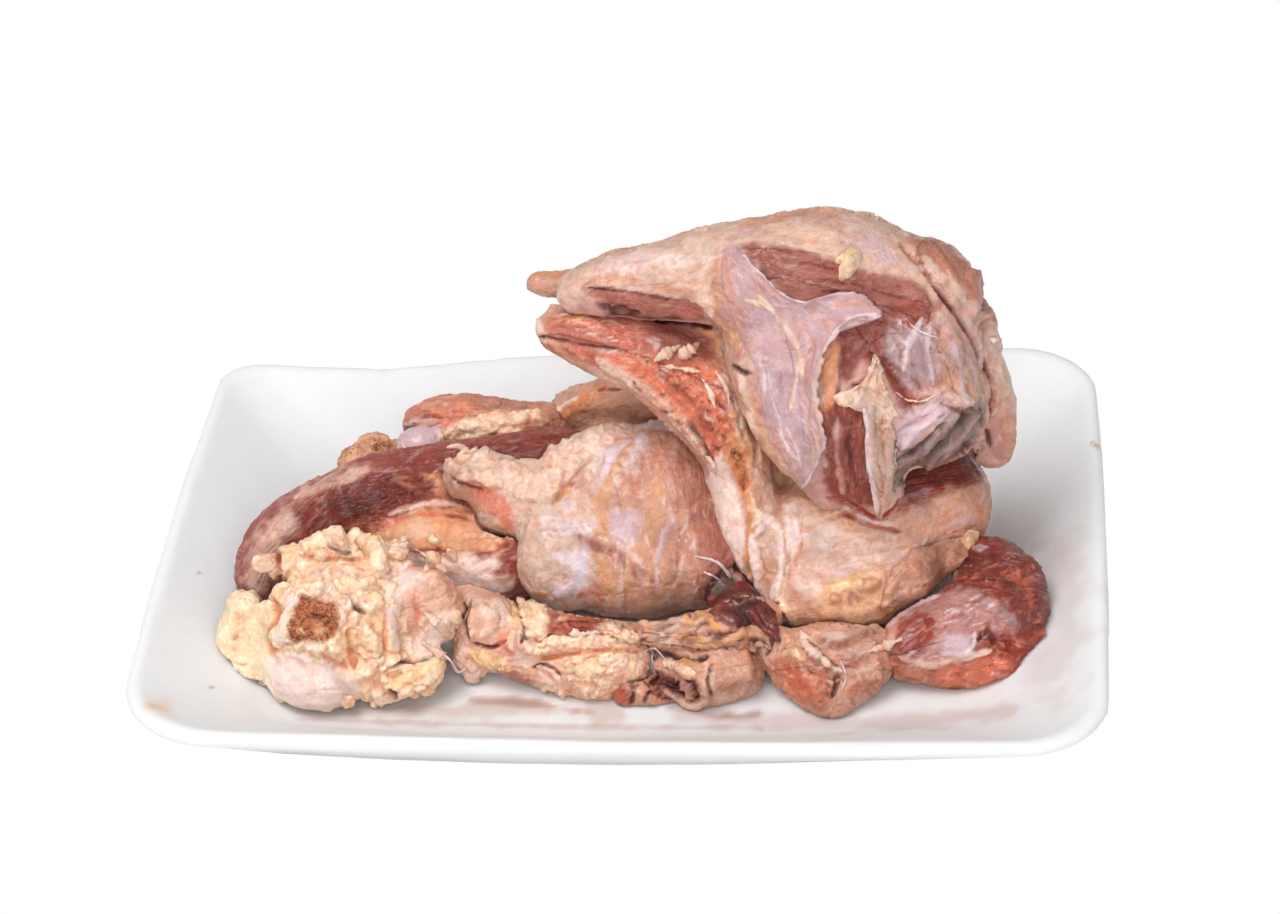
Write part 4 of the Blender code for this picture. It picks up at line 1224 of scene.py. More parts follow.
rollLook = {
    "name": "curled_roll_of_skin",
    "stands for": "skin_roll",
    "slot": "skin",
    "grain": 0.42,
    "softening": 4,
    "base": "skinTan",
    "blotches": [("orangeFat", 7, 0.3, 0.5), ("skinPale", 8, 0.3, 0.7), ("muscleRust", 5, 0.8, 0.6)],
    "relief": {"lump size": 4.0, "lump height": 0.9, "swell": 0.6, "creases": 1.2},
    "fibres": [[(640, 640), (700, 640), (770, 650)], [(640, 690), (700, 705), (755, 680)]],
    # Painted shade: dark back, the three scrap gaps, dark inside, fold on roll, curl mouth, curl dark, dark
    # beside rim, open mouth, deep mouth and dark shadow darken gaps, the hollow of the curl and its mouth.
    "marks": {
        "wine back": ("wine", 8, 0.0, [(708, 610), (730, 606), (752, 612)]),
        "dark back": ("clot", 7, -1.0, [(716, 596), (738, 598), (758, 606)]),
        "orange scrap": ("rust", 6, 0.3, [
            (604, 690), (616, 680), (630, 688), (626, 712), (608, 714), (604, 690)]),
        "scrap gap": ("clot", 2.5, -1.0, [(632, 676), (634, 692), (630, 708)]),
        "pink scrap": ("skinTan", 6, 0.8, [(640, 694), (652, 702)]),
        "second scrap gap": ("muscleDeep", 2.5, -1.0, [(644, 702), (650, 692), (662, 700)]),
        "third scrap gap": ("clot", 2.5, -1.0, [(650, 684), (664, 698), (676, 708)]),
        "dark inside": ("clot", 6, -0.9, [(644, 656), (664, 656), (690, 660), (706, 656)]),
        "outer roll": ("skinTan", 8, 0.6, [(716, 668), (736, 664), (748, 676), (740, 694)]),
        "outer roll light": ("skinPale", 6, 0.4, [(708, 668), (712, 684), (722, 698), (740, 692)]),
        "fold on roll": ("brownGap", 2.5, -0.7, [(712, 664), (708, 680), (712, 696)]),
        "curl mouth": ("brownGap", 5, -1.2, [
            (650, 674), (668, 682), (690, 684), (697, 692), (690, 700), (674, 694), (658, 686), (650, 674)]),
        "curl dark": ("clot", 3.5, -1.0, [(650, 670), (666, 678), (684, 682), (696, 686)]),
        "curl filling": ("creamFat", 5, 0.9, [(664, 662), (680, 668), (694, 674)]),
        "gold filling": ("goldFat", 4, 0.8, [(676, 660), (692, 662), (700, 666)]),
        "dark beside rim": ("clot", 6, -1.0, [(640, 660), (650, 678), (662, 694)]),
        "pink rim": ("skinPale", 4, 1.0, [
            (660, 670), (670, 690), (682, 703), (694, 708), (706, 700), (704, 682)]),
        "rim line": ("skinBrown", 2, -0.5, [(644, 676), (662, 694), (682, 706)]),
        "open mouth": ("muscleDeep", 3, -1.4, [
            (654, 676), (666, 673), (684, 680), (698, 686), (697, 697), (686, 699), (669, 690), (654, 676)]),
        "deep mouth": ("clot", 3, -0.6, [(664, 678), (680, 686), (692, 692)]),
        "dark shadow": ("clot", 7, -0.9, [(750, 640), (760, 650), (768, 664)]),
    },
    "dabs": [
        ([(706, 664), (756, 660), (750, 696), (712, 702), (706, 664)], [
            ("skinPale", 10, 18, 4, 0.3, -60), ("coral", 8, 14, 4, -0.2, -60)]),
        ([(604, 682), (672, 686), (676, 712), (606, 714), (604, 682)], [
            ("muscleRust", 14, 10, 3, -0.7, None)]),
    ],
}

foldLook = {
    "name": "folded_ribs_with_skin",
    "stands for": "rib_fold",
    "slot": "skin",
    "grain": 0.62,
    "softening": 5,
    "base": "skinTan",
    "blotches": [("skinPale", 14, 0.1, 0.7), ("coral", 10, 0.6, 0.5), ("yellowFat", 12, 0.7, 0.6)],
    "relief": {"lump size": 6.0, "lump height": 0.8, "swell": 0.6},
    "fibres": [
        [(545, 315), (620, 330), (720, 345)],
        [(560, 350), (640, 380), (710, 440)],
        [(720, 460), (730, 520), (725, 590)],
        [(790, 540), (860, 520), (985, 500)],
        [(780, 610), (860, 600), (985, 550)],
    ],
    # Painted shade: nub shade, strip between, dark lower edge, gap above, dark hole, shade under flap, red
    # shadow line and fat shade darken gaps, holes and edges. Painted highlight: fat highlight.
    "marks": {
        "upper rib": ("ribPink", 5, 0.1, [
            (552, 314), (580, 308), (640, 318), (700, 332), (716, 350), (700, 364), (660, 358), (600, 348),
            (550, 336), (552, 314)]),
        "orange end": ("coral", 6, 0.3, [(556, 322), (576, 318), (600, 328)]),
        "golden end": ("goldFat", 4, 0.3, [(574, 306), (584, 312), (572, 322)]),
        "pale nubs": ("skinCream", 5, 1.0, [(546, 306), (570, 300), (596, 306)]),
        "nub shade": ("brownGap", 2, -0.8, [(566, 308), (582, 306), (596, 314)]),
        "tip": ("skinCream", 5, 0.4, [(538, 318), (540, 330), (546, 342)]),
        "red upper": ("ribRed", 6, 0.1, [(606, 330), (640, 336), (640, 346), (610, 342)]),
        "maroon oval": ("maroonMeat", 4, -0.2, [
            (646, 326), (668, 325), (694, 331), (710, 342), (714, 354), (704, 359), (680, 351), (656, 345),
            (646, 326)]),
        "oval light": ("muscleRose", 4, 0.2, [(664, 334), (684, 340), (700, 348)]),
        "lilac end": ("lilacWhite", 4, 0.2, [(646, 338), (656, 342), (656, 350)]),
        "strip between": ("muscleDeep", 2.2, -0.9, [(540, 336), (560, 340), (584, 345), (622, 350)]),
        "lower strip": ("ribRed", 5, 0.1, [
            (540, 342), (570, 346), (604, 352), (640, 360), (640, 374), (606, 366), (570, 356), (540, 342)]),
        "ragged ribs": ("ribBright", 6, 0.2, [
            (604, 356), (650, 354), (690, 364), (714, 368), (728, 392), (736, 430), (732, 458), (712, 458),
            (692, 430), (662, 404), (632, 382), (604, 356)]),
        "rust in ribs": ("ribRust", 6, -0.4, [(660, 372), (684, 392), (712, 430)]),
        "tan tissue": ("jawTan", 6, 0.4, [
            (704, 322), (722, 332), (738, 346), (762, 390), (768, 440), (750, 470), (740, 452), (738, 430),
            (730, 392), (720, 362), (716, 344), (704, 322)]),
        "gold line": ("goldFat", 3, 0.4, [(700, 326), (716, 338), (722, 356), (736, 384)]),
        "cream tissue": ("skinCream", 5, 0.4, [(716, 372), (728, 392), (738, 424), (742, 452)]),
        "brown tissue": ("skinBrown", 4, -0.5, [(742, 384), (750, 410), (756, 440)]),
        "pale lower edge": ("skinCream", 6, 0.5, [
            (598, 358), (624, 374), (642, 388), (662, 404), (684, 425), (703, 452)]),
        "dark lower edge": ("muscleDeep", 2.5, -0.4, [(688, 420), (702, 440), (714, 460)]),
        "gap above": ("clot", 4, -1.0, [(590, 293), (606, 305), (640, 316), (690, 322), (712, 328)]),
        "dark hole": ("clot", 3, -1.0, [(724, 358), (734, 368), (748, 373)]),
        "tan body": ("bodyPale", 10, 0.2, [
            (798, 506), (850, 498), (910, 500), (910, 560), (860, 592), (802, 588), (798, 506)]),
        "streaked right": ("pinkTan", 8, 0.1, [
            (902, 498), (980, 502), (990, 552), (940, 574), (904, 566), (902, 498)]),
        "shade under flap": ("muscleDark", 8, -0.3, [
            (896, 450), (975, 440), (978, 478), (940, 492), (900, 506), (896, 450)]),
        "red shadow line": ("bloodRed", 4, 0.0, [(850, 508), (886, 512), (912, 500), (944, 488)]),
        "body fat": ("bodyFat", 9, 0.5, [
            (820, 592), (860, 574), (900, 570), (902, 598), (870, 618), (826, 620), (820, 592)]),
        "first fat lump": ("bodyFat", 11, 1.7, [(834, 598), (838, 600)]),
        "second fat lump": ("bodyFat", 13, 1.7, [(864, 586), (874, 584)]),
        "fat shade": ("skinBrown", 2.5, -0.7, [(850, 606), (852, 594), (860, 602)]),
        "fat highlight": ("yellowFat", 5, 0.2, [(832, 590), (866, 578)]),
        "brown lumps": ("skinBrown", 6, 0.5, [(876, 608), (900, 598), (926, 582)]),
        "cartilage rim": ("cartilage", 5, 0.8, [
            (706, 482), (716, 460), (728, 462), (738, 490), (746, 520), (750, 560), (742, 590), (728, 580),
            (712, 530), (706, 482)]),
        "yellow behind rim": ("orangeFat", 4, -0.3, [
            (722, 436), (744, 444), (750, 470), (750, 500), (740, 490), (730, 464), (722, 436)]),
        "rust behind rim": ("spongeBone", 5, -0.6, [(734, 452), (742, 470), (745, 488)]),
        "gold seam": ("goldFat", 5, -0.3, [(749, 500), (753, 530), (750, 562), (754, 592)]),
        "cream knots": ("creamFat", 4, 0.7, [(752, 498), (758, 514), (752, 528)]),
        "cream behind rim": ("skinCream", 7, 0.3, [(756, 470), (770, 500), (764, 516)]),
        "oval": ("cartilage", 6, 0.9, [
            (756, 536), (766, 520), (780, 530), (784, 560), (778, 590), (766, 602), (756, 584), (752, 536)]),
        "second oval": ("cartilage", 4, 0.6, [
            (783, 512), (796, 508), (800, 530), (796, 562), (786, 556), (783, 512)]),
        "oval edge": ("orangeFat", 1.6, -0.6, [(750, 512), (748, 540), (752, 576), (762, 604)]),
        "second oval edge": ("tanMeat", 1.6, -0.6, [(782, 508), (784, 536), (786, 562), (780, 596)]),
        "third oval edge": ("tanMeat", 1.6, -0.5, [(800, 510), (802, 540), (796, 566)]),
        "body crease": ("skinTan", 3, -0.5, [(804, 532), (838, 516), (876, 506)]),
        "crease under muscle": ("ribRust", 3, -0.6, [(826, 500), (846, 514), (872, 526), (900, 532)]),
        "fold under muscle": ("jawTan", 6, 0.4, [(800, 498), (826, 516), (856, 530), (890, 540)]),
        "lower cream": ("creamFat", 6, 0.8, [(766, 606), (780, 604), (794, 622), (786, 630)]),
        "yellow nub": ("goldFat", 7, 0.8, [(964, 540), (970, 546)]),
        "orange edge": ("orangeBone", 5, 0.2, [(978, 506), (984, 524), (984, 544)]),
    },
    "dabs": [
        ([(556, 314), (640, 322), (640, 346), (560, 334), (556, 314)], [
            ("ribRust", 22, 20, 3, -0.3, -8), ("skinCream", 22, 16, 2, 0.3, -12)]),
        ([(545, 340), (640, 354), (640, 372), (560, 350), (545, 340)], [
            ("skinCream", 16, 12, 3, 0.4, -14)]),
        ([(620, 358), (710, 366), (734, 400), (734, 454), (704, 450), (650, 398), (620, 358)], [
            ("skinCream", 60, 9, 3, 0.8, -48), ("ribRed", 50, 12, 5, 0.5, -48),
            ("muscleDeep", 46, 9, 2.5, -1.0, -48), ("goldFat", 20, 9, 4, 0.5, -48)]),
        ([(648, 328), (710, 336), (712, 356), (656, 346), (648, 328)], [
            ("muscleRose", 14, 12, 3, 0.3, -20)]),
        # painted shade: thin brown strokes in the creases of the tissue
        ([(714, 340), (762, 390), (766, 450), (744, 456), (722, 366), (714, 340)], [
            ("goldFat", 18, 14, 5, 0.8, -70), ("creamFat", 16, 14, 5, 0.8, -70),
            ("brownGap", 18, 13, 2.5, -0.9, -70)]),
        ([(750, 450), (800, 480), (800, 520), (752, 520), (750, 450)], [
            ("skinCream", 16, 16, 7, 0.4, -60)]),
        ([(800, 505), (985, 500), (985, 556), (800, 590), (800, 505)], [
            ("lilac", 24, 24, 9, 0.2, 10), ("skinTan", 26, 20, 6, -0.2, 20)]),
        ([(800, 505), (905, 500), (905, 560), (800, 580), (800, 505)], [
            ("coral", 14, 12, 2.5, -0.3, None)]),
        ([(820, 580), (905, 568), (900, 612), (830, 620), (820, 580)], [
            ("goldFat", 18, 12, 6, 0.5, None)]),
        ([(900, 500), (985, 500), (985, 556), (905, 566), (900, 500)], [
            ("coral", 30, 20, 2.5, -0.3, 36), ("skinCream", 22, 16, 3, 0.3, 36)]),
    ],
}

neckLook = {
    "name": "folded_neck_scrap",
    "stands for": "neck_scrap",
    "slot": "skin",
    "grain": 0.42,
    "softening": 4,
    "base": "skinTan",
    "blotches": [("skinMauve", 7, 0.0, 0.6), ("coral", 6, 0.6, 0.5), ("skinBrown", 6, 0.5, 0.5)],
    "relief": {"lump size": 4.0, "lump height": 1.0, "swell": 0.7, "creases": 1.3},
    "fibres": [[(775, 650), (830, 640), (882, 650)], [(780, 690), (880, 690)]],
    # Painted shade: foot gap, dark left, strip shadow, fold shade and second fold shade darken gaps and
    # folds.
    "marks": {
        "left foot": ("rustTan", 6, 0.4, [
            (774, 660), (796, 658), (822, 676), (834, 690), (828, 712), (806, 704), (782, 690), (774, 660)]),
        "foot red": ("rust", 8, -0.2, [(786, 668), (802, 684), (812, 694)]),
        "foot fat": ("creamFat", 4, 0.5, [(780, 656), (792, 650), (804, 660)]),
        "right foot": ("rustTan", 7, 0.5, [(848, 694), (862, 686), (880, 680)]),
        "foot gap": ("clot", 3, -1.2, [(838, 674), (836, 686), (832, 698)]),
        "cream corner": ("bodyFat", 6, 0.8, [(784, 632), (790, 646), (784, 656)]),
        "dark left": ("clot", 6, -1.0, [(764, 622), (770, 640), (766, 654)]),
        "mauve right": ("skinBrown", 5, -0.2, [(876, 644), (882, 664), (884, 684)]),
        "cream strip": ("skinCream", 4.5, 0.9, [(802, 634), (812, 650), (826, 662), (842, 672)]),
        "strip shadow": ("brownGap", 2, -0.9, [(808, 640), (822, 656), (838, 666)]),
        "pale fold": ("skinPale", 6, 1.1, [(812, 630), (836, 638), (858, 630), (878, 626)]),
        "fold shade": ("skinBrown", 4, -0.7, [(818, 640), (840, 646), (862, 636), (878, 632)]),
        "second fold": ("skinMauve", 6, 0.7, [(846, 658), (860, 650), (874, 644)]),
        "second fold shade": ("skinBrown", 3.5, -0.7, [(844, 668), (860, 662), (874, 658)]),
        "third fold": ("skinPale", 4, 0.6, [(850, 676), (866, 670), (878, 664)]),
    },
    "dabs": [
        ([(800, 625), (885, 625), (880, 675), (805, 672), (800, 625)], [
            ("skinPale", 18, 18, 4, 0.5, 24), ("coral", 14, 14, 3, -0.4, 24)]),
        # painted shade: thin brown strokes in the folds
        ([(775, 660), (885, 675), (870, 712), (785, 700), (775, 660)], [
            ("ribRed", 22, 11, 4, 0.5, -40), ("brownGap", 20, 9, 2.5, -0.8, -40),
            ("skinCream", 12, 9, 2.5, 0.5, -40)]),
    ],
}

legLook = {
    "name": "dark_end_of_a_leg",
    "stands for": "leg_end",
    "slot": "dark_meat",
    "grain": 0.48,
    "softening": 5,
    "base": "muscleRust",
    "blotches": [("muscleDark", 10, 0.1, 0.6), ("ribRust", 9, 0.4, 0.7), ("muscleTan", 10, 0.9, 0.6)],
    "relief": {"inset": 0.3, "lump size": 6.5, "lump height": 0.8, "swell": 0.6},
    "fibres": [
        [(890, 630), (940, 600), (1010, 600)],
        [(925, 580), (980, 560), (1045, 580)],
        [(880, 680), (1000, 680)],
    ],
    # Painted shade: bottom edge darkens the lower edge where the leg meets the tray. Painted highlight:
    # glint.
    "marks": {
        "dark top": ("muscleDark", 7, 0.0, [
            (922, 584), (948, 556), (996, 550), (1006, 590), (960, 590), (922, 584)]),
        "top streak": ("bloodRed", 4, -0.3, [(960, 578), (980, 582), (1000, 590)]),
        "right lobes": ("muscleDark", 9, 0.3, [
            (1002, 556), (1030, 543), (1050, 580), (1047, 630), (1020, 640), (1006, 600), (1002, 556)]),
        "rough red": ("rust", 6, -0.4, [(1000, 574), (1016, 578), (1028, 592), (1030, 606)]),
        "lower right": ("muscleRust", 12, 1.8, [(1036, 630), (1022, 652), (998, 672)]),
        "lower band": ("ribBright", 7, 0.2, [
            (930, 664), (960, 660), (1000, 652), (1010, 668), (990, 684), (944, 690), (930, 664)]),
        "tan lower left": ("rustTan", 6, 0.2, [
            (876, 660), (900, 656), (930, 664), (932, 692), (896, 692), (876, 676), (876, 660)]),
        "membrane": ("membraneRose", 6, 0.1, [
            (872, 650), (890, 628), (920, 602), (955, 588), (990, 596), (1012, 616), (1016, 636), (986, 634),
            (972, 654), (930, 664), (896, 656), (872, 650)]),
        "membrane light": ("lilac", 4, 0.3, [(900, 618), (924, 602)]),
        "membrane edge": ("lilacWhite", 3, 0.4, [(882, 636), (906, 612), (940, 596)]),
        "ochre": ("tanMeat", 6, 0.0, [(886, 646), (896, 634), (902, 624)]),
        "muscle oval": ("muscleRust", 4, 0.3, [
            (898, 636), (908, 620), (928, 614), (938, 624), (930, 646), (912, 656), (898, 650), (898, 636)]),
        "oval light": ("muscleRose", 4, 0.2, [(906, 630), (918, 624), (926, 630)]),
        "lilac patch": ("lilac", 6, 0.3, [
            (946, 634), (960, 630), (972, 638), (968, 652), (946, 650), (946, 634)]),
        "patch edge": ("lilacWhite", 2.5, 0.5, [(940, 652), (958, 654), (972, 646), (974, 632)]),
        "dark triangle": ("muscleDeep", 4, -0.8, [(978, 640), (988, 632), (994, 644)]),
        "rough lilac": ("greyLilac", 5, 0.3, [(986, 604), (1004, 614), (1016, 624)]),
        "sinew": ("creamFat", 4, 0.5, [(866, 652), (882, 646), (896, 642)]),
        "cream band": ("skinCream", 4, 0.4, [(900, 656), (928, 664), (960, 658), (990, 650)]),
        "bottom edge": ("brownGap", 3, -0.3, [(888, 694), (940, 698), (1002, 684)]),
        "glint": ("lilac", 5, 0.2, [(974, 548), (986, 548)]),
    },
    "dabs": [
        ([(925, 580), (960, 552), (1040, 550), (1044, 630), (1006, 600), (925, 590), (925, 580)], [
            ("muscleRose", 36, 12, 2.5, 0.3, 20), ("muscleDeep", 40, 14, 4, -0.6, 20)]),
        ([(996, 566), (1040, 570), (1040, 650), (1000, 660), (996, 566)], [
            ("ribBright", 22, 9, 4, 0.6, None), ("skinTan", 14, 8, 2.5, 0.5, None)]),
        ([(880, 640), (940, 596), (1010, 606), (1010, 640), (930, 660), (880, 640)], [
            ("lilacWhite", 30, 14, 2.5, 0.3, 26), ("muscle", 26, 12, 4, -0.4, 26)]),
        ([(880, 664), (1010, 654), (1004, 684), (896, 692), (880, 664)], [
            ("skinCream", 22, 12, 2, 0.4, 50), ("muscleRust", 22, 18, 4, -0.4, 4)]),
        ([(985, 600), (1030, 610), (1028, 664), (990, 668), (985, 600)], [
            ("rustTan", 18, 9, 4, 0.8, None)]),
    ],
}

topLook = {
    "name": "large_upper_muscle",
    "stands for": "top_muscle",
    "slot": "dark_meat",
    "grain": 0.65,
    "softening": 5,
    "base": "skinMauve",
    "blotches": [("skinPale", 18, 0.0, 0.8), ("muscleRose", 12, 0.5, 0.6), ("skinTan", 14, 0.4, 0.7)],
    "relief": {"inset": -0.5, "lump size": 6.0, "lump height": 0.6, "swell": 0.6, "creases": 1.0},
    "fibres": [
        [(560, 290), (640, 265), (760, 235), (870, 225)],
        [(600, 298), (660, 310), (700, 320)],
        [(745, 255), (800, 270), (860, 290), (930, 305)],
        [(780, 290), (840, 300), (900, 325)],
        [(835, 330), (845, 400), (850, 500)],
        [(900, 340), (930, 400), (920, 490)],
        [(933, 303), (965, 340), (985, 400)],
        [(960, 280), (990, 330), (1005, 400), (1008, 460)],
    ],
    # Painted shade: dark gap under the lip of the crown, cleft edge, lower left fold, dark hole, maroon
    # fold, dark beside rag, the three olive creases, upper crease, crease, outer slit and dark under darken
    # gaps, folds and creases.
    # The four wrinkle lines are the muscle's own darker lines and also painted shade in the wrinkles.
    # Painted highlight: cleft highlight.
    "marks": {
        "pale crown": ("skinPale", 6, -0.6, [
            (536, 312), (546, 278), (568, 252), (600, 236), (640, 228), (720, 213), (800, 196), (870, 198),
            (925, 230), (940, 262), (936, 300), (925, 289), (908, 278), (887, 274), (862, 270), (837, 262),
            (817, 253), (783, 245), (742, 243), (722, 250), (712, 300), (706, 330), (690, 318), (660, 292),
            (620, 288), (592, 283), (575, 300), (545, 316), (536, 312)]),
        "crown lilac": ("lilac", 12, 0.0, [(846, 240), (870, 244), (896, 256)]),
        "crown grey": ("lilacCartilage", 12, 0.0, [(600, 262), (650, 256), (690, 262)]),
        "crown tan top": ("skinTan", 7, 0.0, [(740, 222), (800, 208), (840, 208)]),
        "crown tan front": ("skinTan", 6, 0.1, [(580, 290), (600, 276), (640, 284), (700, 296)]),
        "lip bump": ("skinMauve", 4, 0.8, [(585, 284), (588, 292)]),
        "lip underside": ("skinPale", 5, 0.3, [(548, 304), (564, 294), (580, 296)]),
        "lower lip": ("skinCream", 5, 0.3, [(640, 330), (680, 338), (706, 346)]),
        "cleft muscle": ("muscleRose", 3, -0.5, [
            (588, 288), (607, 290), (637, 294), (667, 300), (693, 307), (704, 314), (702, 323), (680, 321),
            (653, 318), (630, 315), (610, 308), (593, 300), (588, 288)]),
        "cleft highlight": ("muscleSoft", 4, 0.3, [(604, 296), (640, 303), (680, 312)]),
        "cleft edge": ("muscleDeep", 2.5, -0.5, [(588, 288), (612, 291), (640, 296), (668, 302)]),
        "dark gap": ("clot", 7, -1.0, [(596, 305), (620, 315), (645, 322), (676, 327), (700, 330)]),
        "tissue behind cleft": ("jawTan", 9, 0.4, [(712, 322), (726, 332), (736, 344)]),
        "yellow strip": ("thighGold", 4, 0.2, [(719, 254), (714, 286), (716, 312)]),
        "cream beside flap": ("skinCream", 8, 0.2, [(704, 262), (702, 292), (710, 316)]),
        "fat left of flap": ("jawTan", 13, 0.5, [(742, 388), (752, 420), (762, 452), (780, 472)]),
        "cream left of flap": ("skinCream", 5, 0.4, [(736, 372), (746, 404), (756, 440)]),
        "lower left fold": ("brownGap", 3, -0.6, [(752, 450), (772, 470), (800, 492)]),
        "dark hole": ("clot", 3, -1.0, [(728, 364), (738, 370), (750, 374)]),
        "dark muscle": ("muscleSoft", 4, -0.2, [
            (742, 244), (783, 245), (817, 253), (837, 262), (862, 270), (887, 274), (908, 278), (925, 289),
            (934, 302), (944, 304), (936, 320), (905, 334), (870, 338), (836, 330), (806, 310), (783, 296),
            (762, 276), (742, 244)]),
        "wrinkle": ("muscle", 1.8, -0.6, [(764, 254), (790, 260), (812, 262), (840, 270)]),
        "second wrinkle": ("muscle", 1.8, -0.6, [(780, 272), (804, 280), (830, 280), (846, 284)]),
        "third wrinkle": ("muscle", 1.8, -0.6, [(850, 282), (870, 290), (900, 296), (926, 304)]),
        "fourth wrinkle": ("muscle", 2.0, -0.5, [(822, 292), (850, 296), (880, 308), (904, 318)]),
        "brown inner": ("muscle", 6, -0.3, [
            (838, 326), (880, 322), (890, 350), (886, 372), (862, 366), (846, 380), (838, 360), (838, 326)]),
        "orange strip": ("orangeFat", 9, 0.3, [(836, 344), (830, 374), (830, 404), (822, 426)]),
        "orange shade": ("brownGap", 3, -0.5, [(842, 350), (840, 380), (836, 410)]),
        "maroon": ("muscle", 5, -0.3, [
            (826, 412), (864, 404), (868, 460), (874, 508), (834, 500), (826, 470), (826, 412)]),
        "maroon fold": ("muscleDeep", 3, -0.8, [(852, 420), (848, 450), (856, 490)]),
        "pale maroon fold": ("skinMauve", 4, 0.6, [(838, 420), (836, 456), (842, 494)]),
        "grey membrane": ("greyLilac", 7, 0.0, [
            (890, 332), (930, 326), (940, 350), (934, 384), (904, 380), (888, 352), (890, 332)]),
        "muscle right end": ("muscle", 7, -0.1, [(880, 320), (902, 322), (922, 318), (938, 310)]),
        "muscle shade": ("muscle", 7, 0.0, [(856, 306), (884, 310), (910, 308), (930, 306)]),
        "wisp": ("lilacWhite", 3, 0.4, [(924, 316), (912, 340), (904, 372)]),
        "second wisp": ("lilacWhite", 2.5, 0.4, [(932, 322), (928, 350), (934, 380)]),
        "right membrane": ("skinTan", 8, 0.2, [
            (936, 306), (962, 326), (986, 360), (996, 392), (980, 410), (944, 398), (938, 350), (936, 306)]),
        "right streak": ("skinPale", 4, 0.4, [(938, 312), (958, 342), (972, 380)]),
        "second right streak": ("lilac", 4, 0.3, [(946, 330), (958, 360), (962, 392)]),
        "rag body": ("skinCream", 8, 0.6, [(876, 364), (882, 388), (892, 410), (902, 432)]),
        "dark beside rag": ("muscleDark", 7, -0.7, [(884, 362), (896, 382), (904, 398), (910, 414)]),
        "rag shadow": ("muscleDark", 4, -0.8, [(852, 384), (862, 394), (870, 410)]),
        "red pocket": ("ribRust", 4, -0.4, [(892, 382), (902, 396), (918, 403), (932, 398)]),
        "lilac folds": ("lilac", 5, 0.3, [
            (898, 414), (926, 406), (950, 400), (950, 420), (928, 432), (910, 452), (898, 442), (898, 414)]),
        "olive area": ("olive", 7, -0.2, [
            (898, 458), (926, 440), (958, 414), (992, 396), (985, 440), (956, 470), (920, 490), (898, 486),
            (898, 458)]),
        "olive ridge": ("greyLilac", 4, 0.8, [(902, 470), (928, 448), (950, 424), (966, 402)]),
        "second olive ridge": ("greyLilac", 3.5, 0.8, [(908, 486), (938, 464), (964, 438), (984, 410)]),
        "olive crease": ("oliveDark", 2.5, -1.0, [(896, 466), (920, 448), (944, 424)]),
        "second olive crease": ("oliveDark", 4, -1.1, [(904, 482), (934, 456), (958, 430), (976, 404)]),
        "third olive crease": ("clot", 3, -0.9, [(918, 490), (946, 472), (972, 446)]),
        "blue fold": ("lilacWhite", 3.5, 0.8, [(902, 450), (912, 434), (928, 424), (946, 412)]),
        "knob": ("lilacCartilage", 6, 0.9, [(946, 396), (962, 398), (974, 404)]),
        "knob shadow": ("brownGap", 2.5, -0.9, [(940, 402), (956, 410), (970, 414)]),
        "bottom line": ("bloodRed", 3.5, -0.6, [(826, 498), (850, 506), (880, 520), (906, 500), (932, 487)]),
        "outer brown": ("skinBrown", 7, 1.0, [
            (908, 238), (934, 240), (960, 256), (985, 282), (1000, 310), (1004, 346), (992, 340), (967, 303),
            (940, 276), (908, 238)]),
        "outer bulge": ("skinBrown", 20, 1.2, [(972, 280), (990, 304), (1000, 332)]),
        "outer pale": ("skinPale", 6, 0.4, [(930, 268), (962, 296), (988, 334), (1004, 376), (1010, 400)]),
        "outer low": ("skinTan", 7, 0.3, [(1006, 410), (1014, 440), (1006, 462)]),
        "upper crease": ("skinBrown", 2.5, -0.8, [(902, 240), (920, 262), (940, 290)]),
        "crease": ("muscleDeep", 3, -1.2, [
            (936, 284), (952, 308), (971, 336), (986, 364), (996, 388), (992, 410), (986, 424)]),
        "edge of crease": ("skinPale", 4, 0.5, [(926, 256), (948, 288), (968, 318), (988, 356)]),
        "outer membrane": ("membraneRose", 9, -0.2, [(984, 424), (992, 442), (1002, 458)]),
        "outer slit": ("muscleDeep", 2.5, -0.6, [(982, 408), (986, 428), (990, 446)]),
        "dark under": ("muscleDeep", 6, -0.6, [(940, 486), (958, 470), (974, 450)]),
        "yellow spot": ("orangeFat", 4, 0.2, [(811, 240), (819, 240)]),
        "speck": ("brownGap", 1.5, 0.0, [(842, 240), (844, 241)]),
    },
    "dabs": [
        ([(748, 248), (817, 256), (887, 276), (930, 300), (900, 328), (836, 312), (783, 290), (748, 248)], [
            ("muscleRose", 22, 22, 3, 0.15, -14), ("muscle", 26, 26, 3, -0.2, -14)]),
        ([(828, 412), (868, 408), (874, 505), (834, 500), (828, 412)], [
            ("muscleTan", 18, 22, 3, 0.25, 84), ("muscleDark", 14, 22, 3, -0.3, 84)]),
        ([(838, 330), (886, 326), (886, 372), (846, 380), (838, 330)], [
            ("muscleSoft", 12, 16, 4, 0.3, 60)]),
        ([(890, 322), (936, 318), (936, 384), (900, 380), (890, 322)], [
            ("lilac", 14, 22, 4, 0.25, 70)]),
        ([(936, 310), (996, 380), (980, 410), (944, 396), (936, 310)], [
            ("skinPale", 14, 26, 4, 0.25, -58), ("muscleTan", 14, 26, 3, -0.25, -58)]),
        ([(900, 400), (990, 395), (960, 470), (905, 488), (900, 400)], [
            ("greyLilac", 18, 22, 4, 0.5, 48)]),
        ([(900, 430), (985, 405), (960, 470), (905, 488), (900, 430)], [
            ("oliveDark", 24, 22, 3.5, -0.7, 48)]),
        ([(890, 325), (940, 316), (992, 370), (994, 398), (940, 402), (900, 385), (890, 325)], [
            ("greyLilac", 22, 26, 6, -0.3, -60), ("lilacWhite", 34, 24, 2.5, 0.25, -62)]),
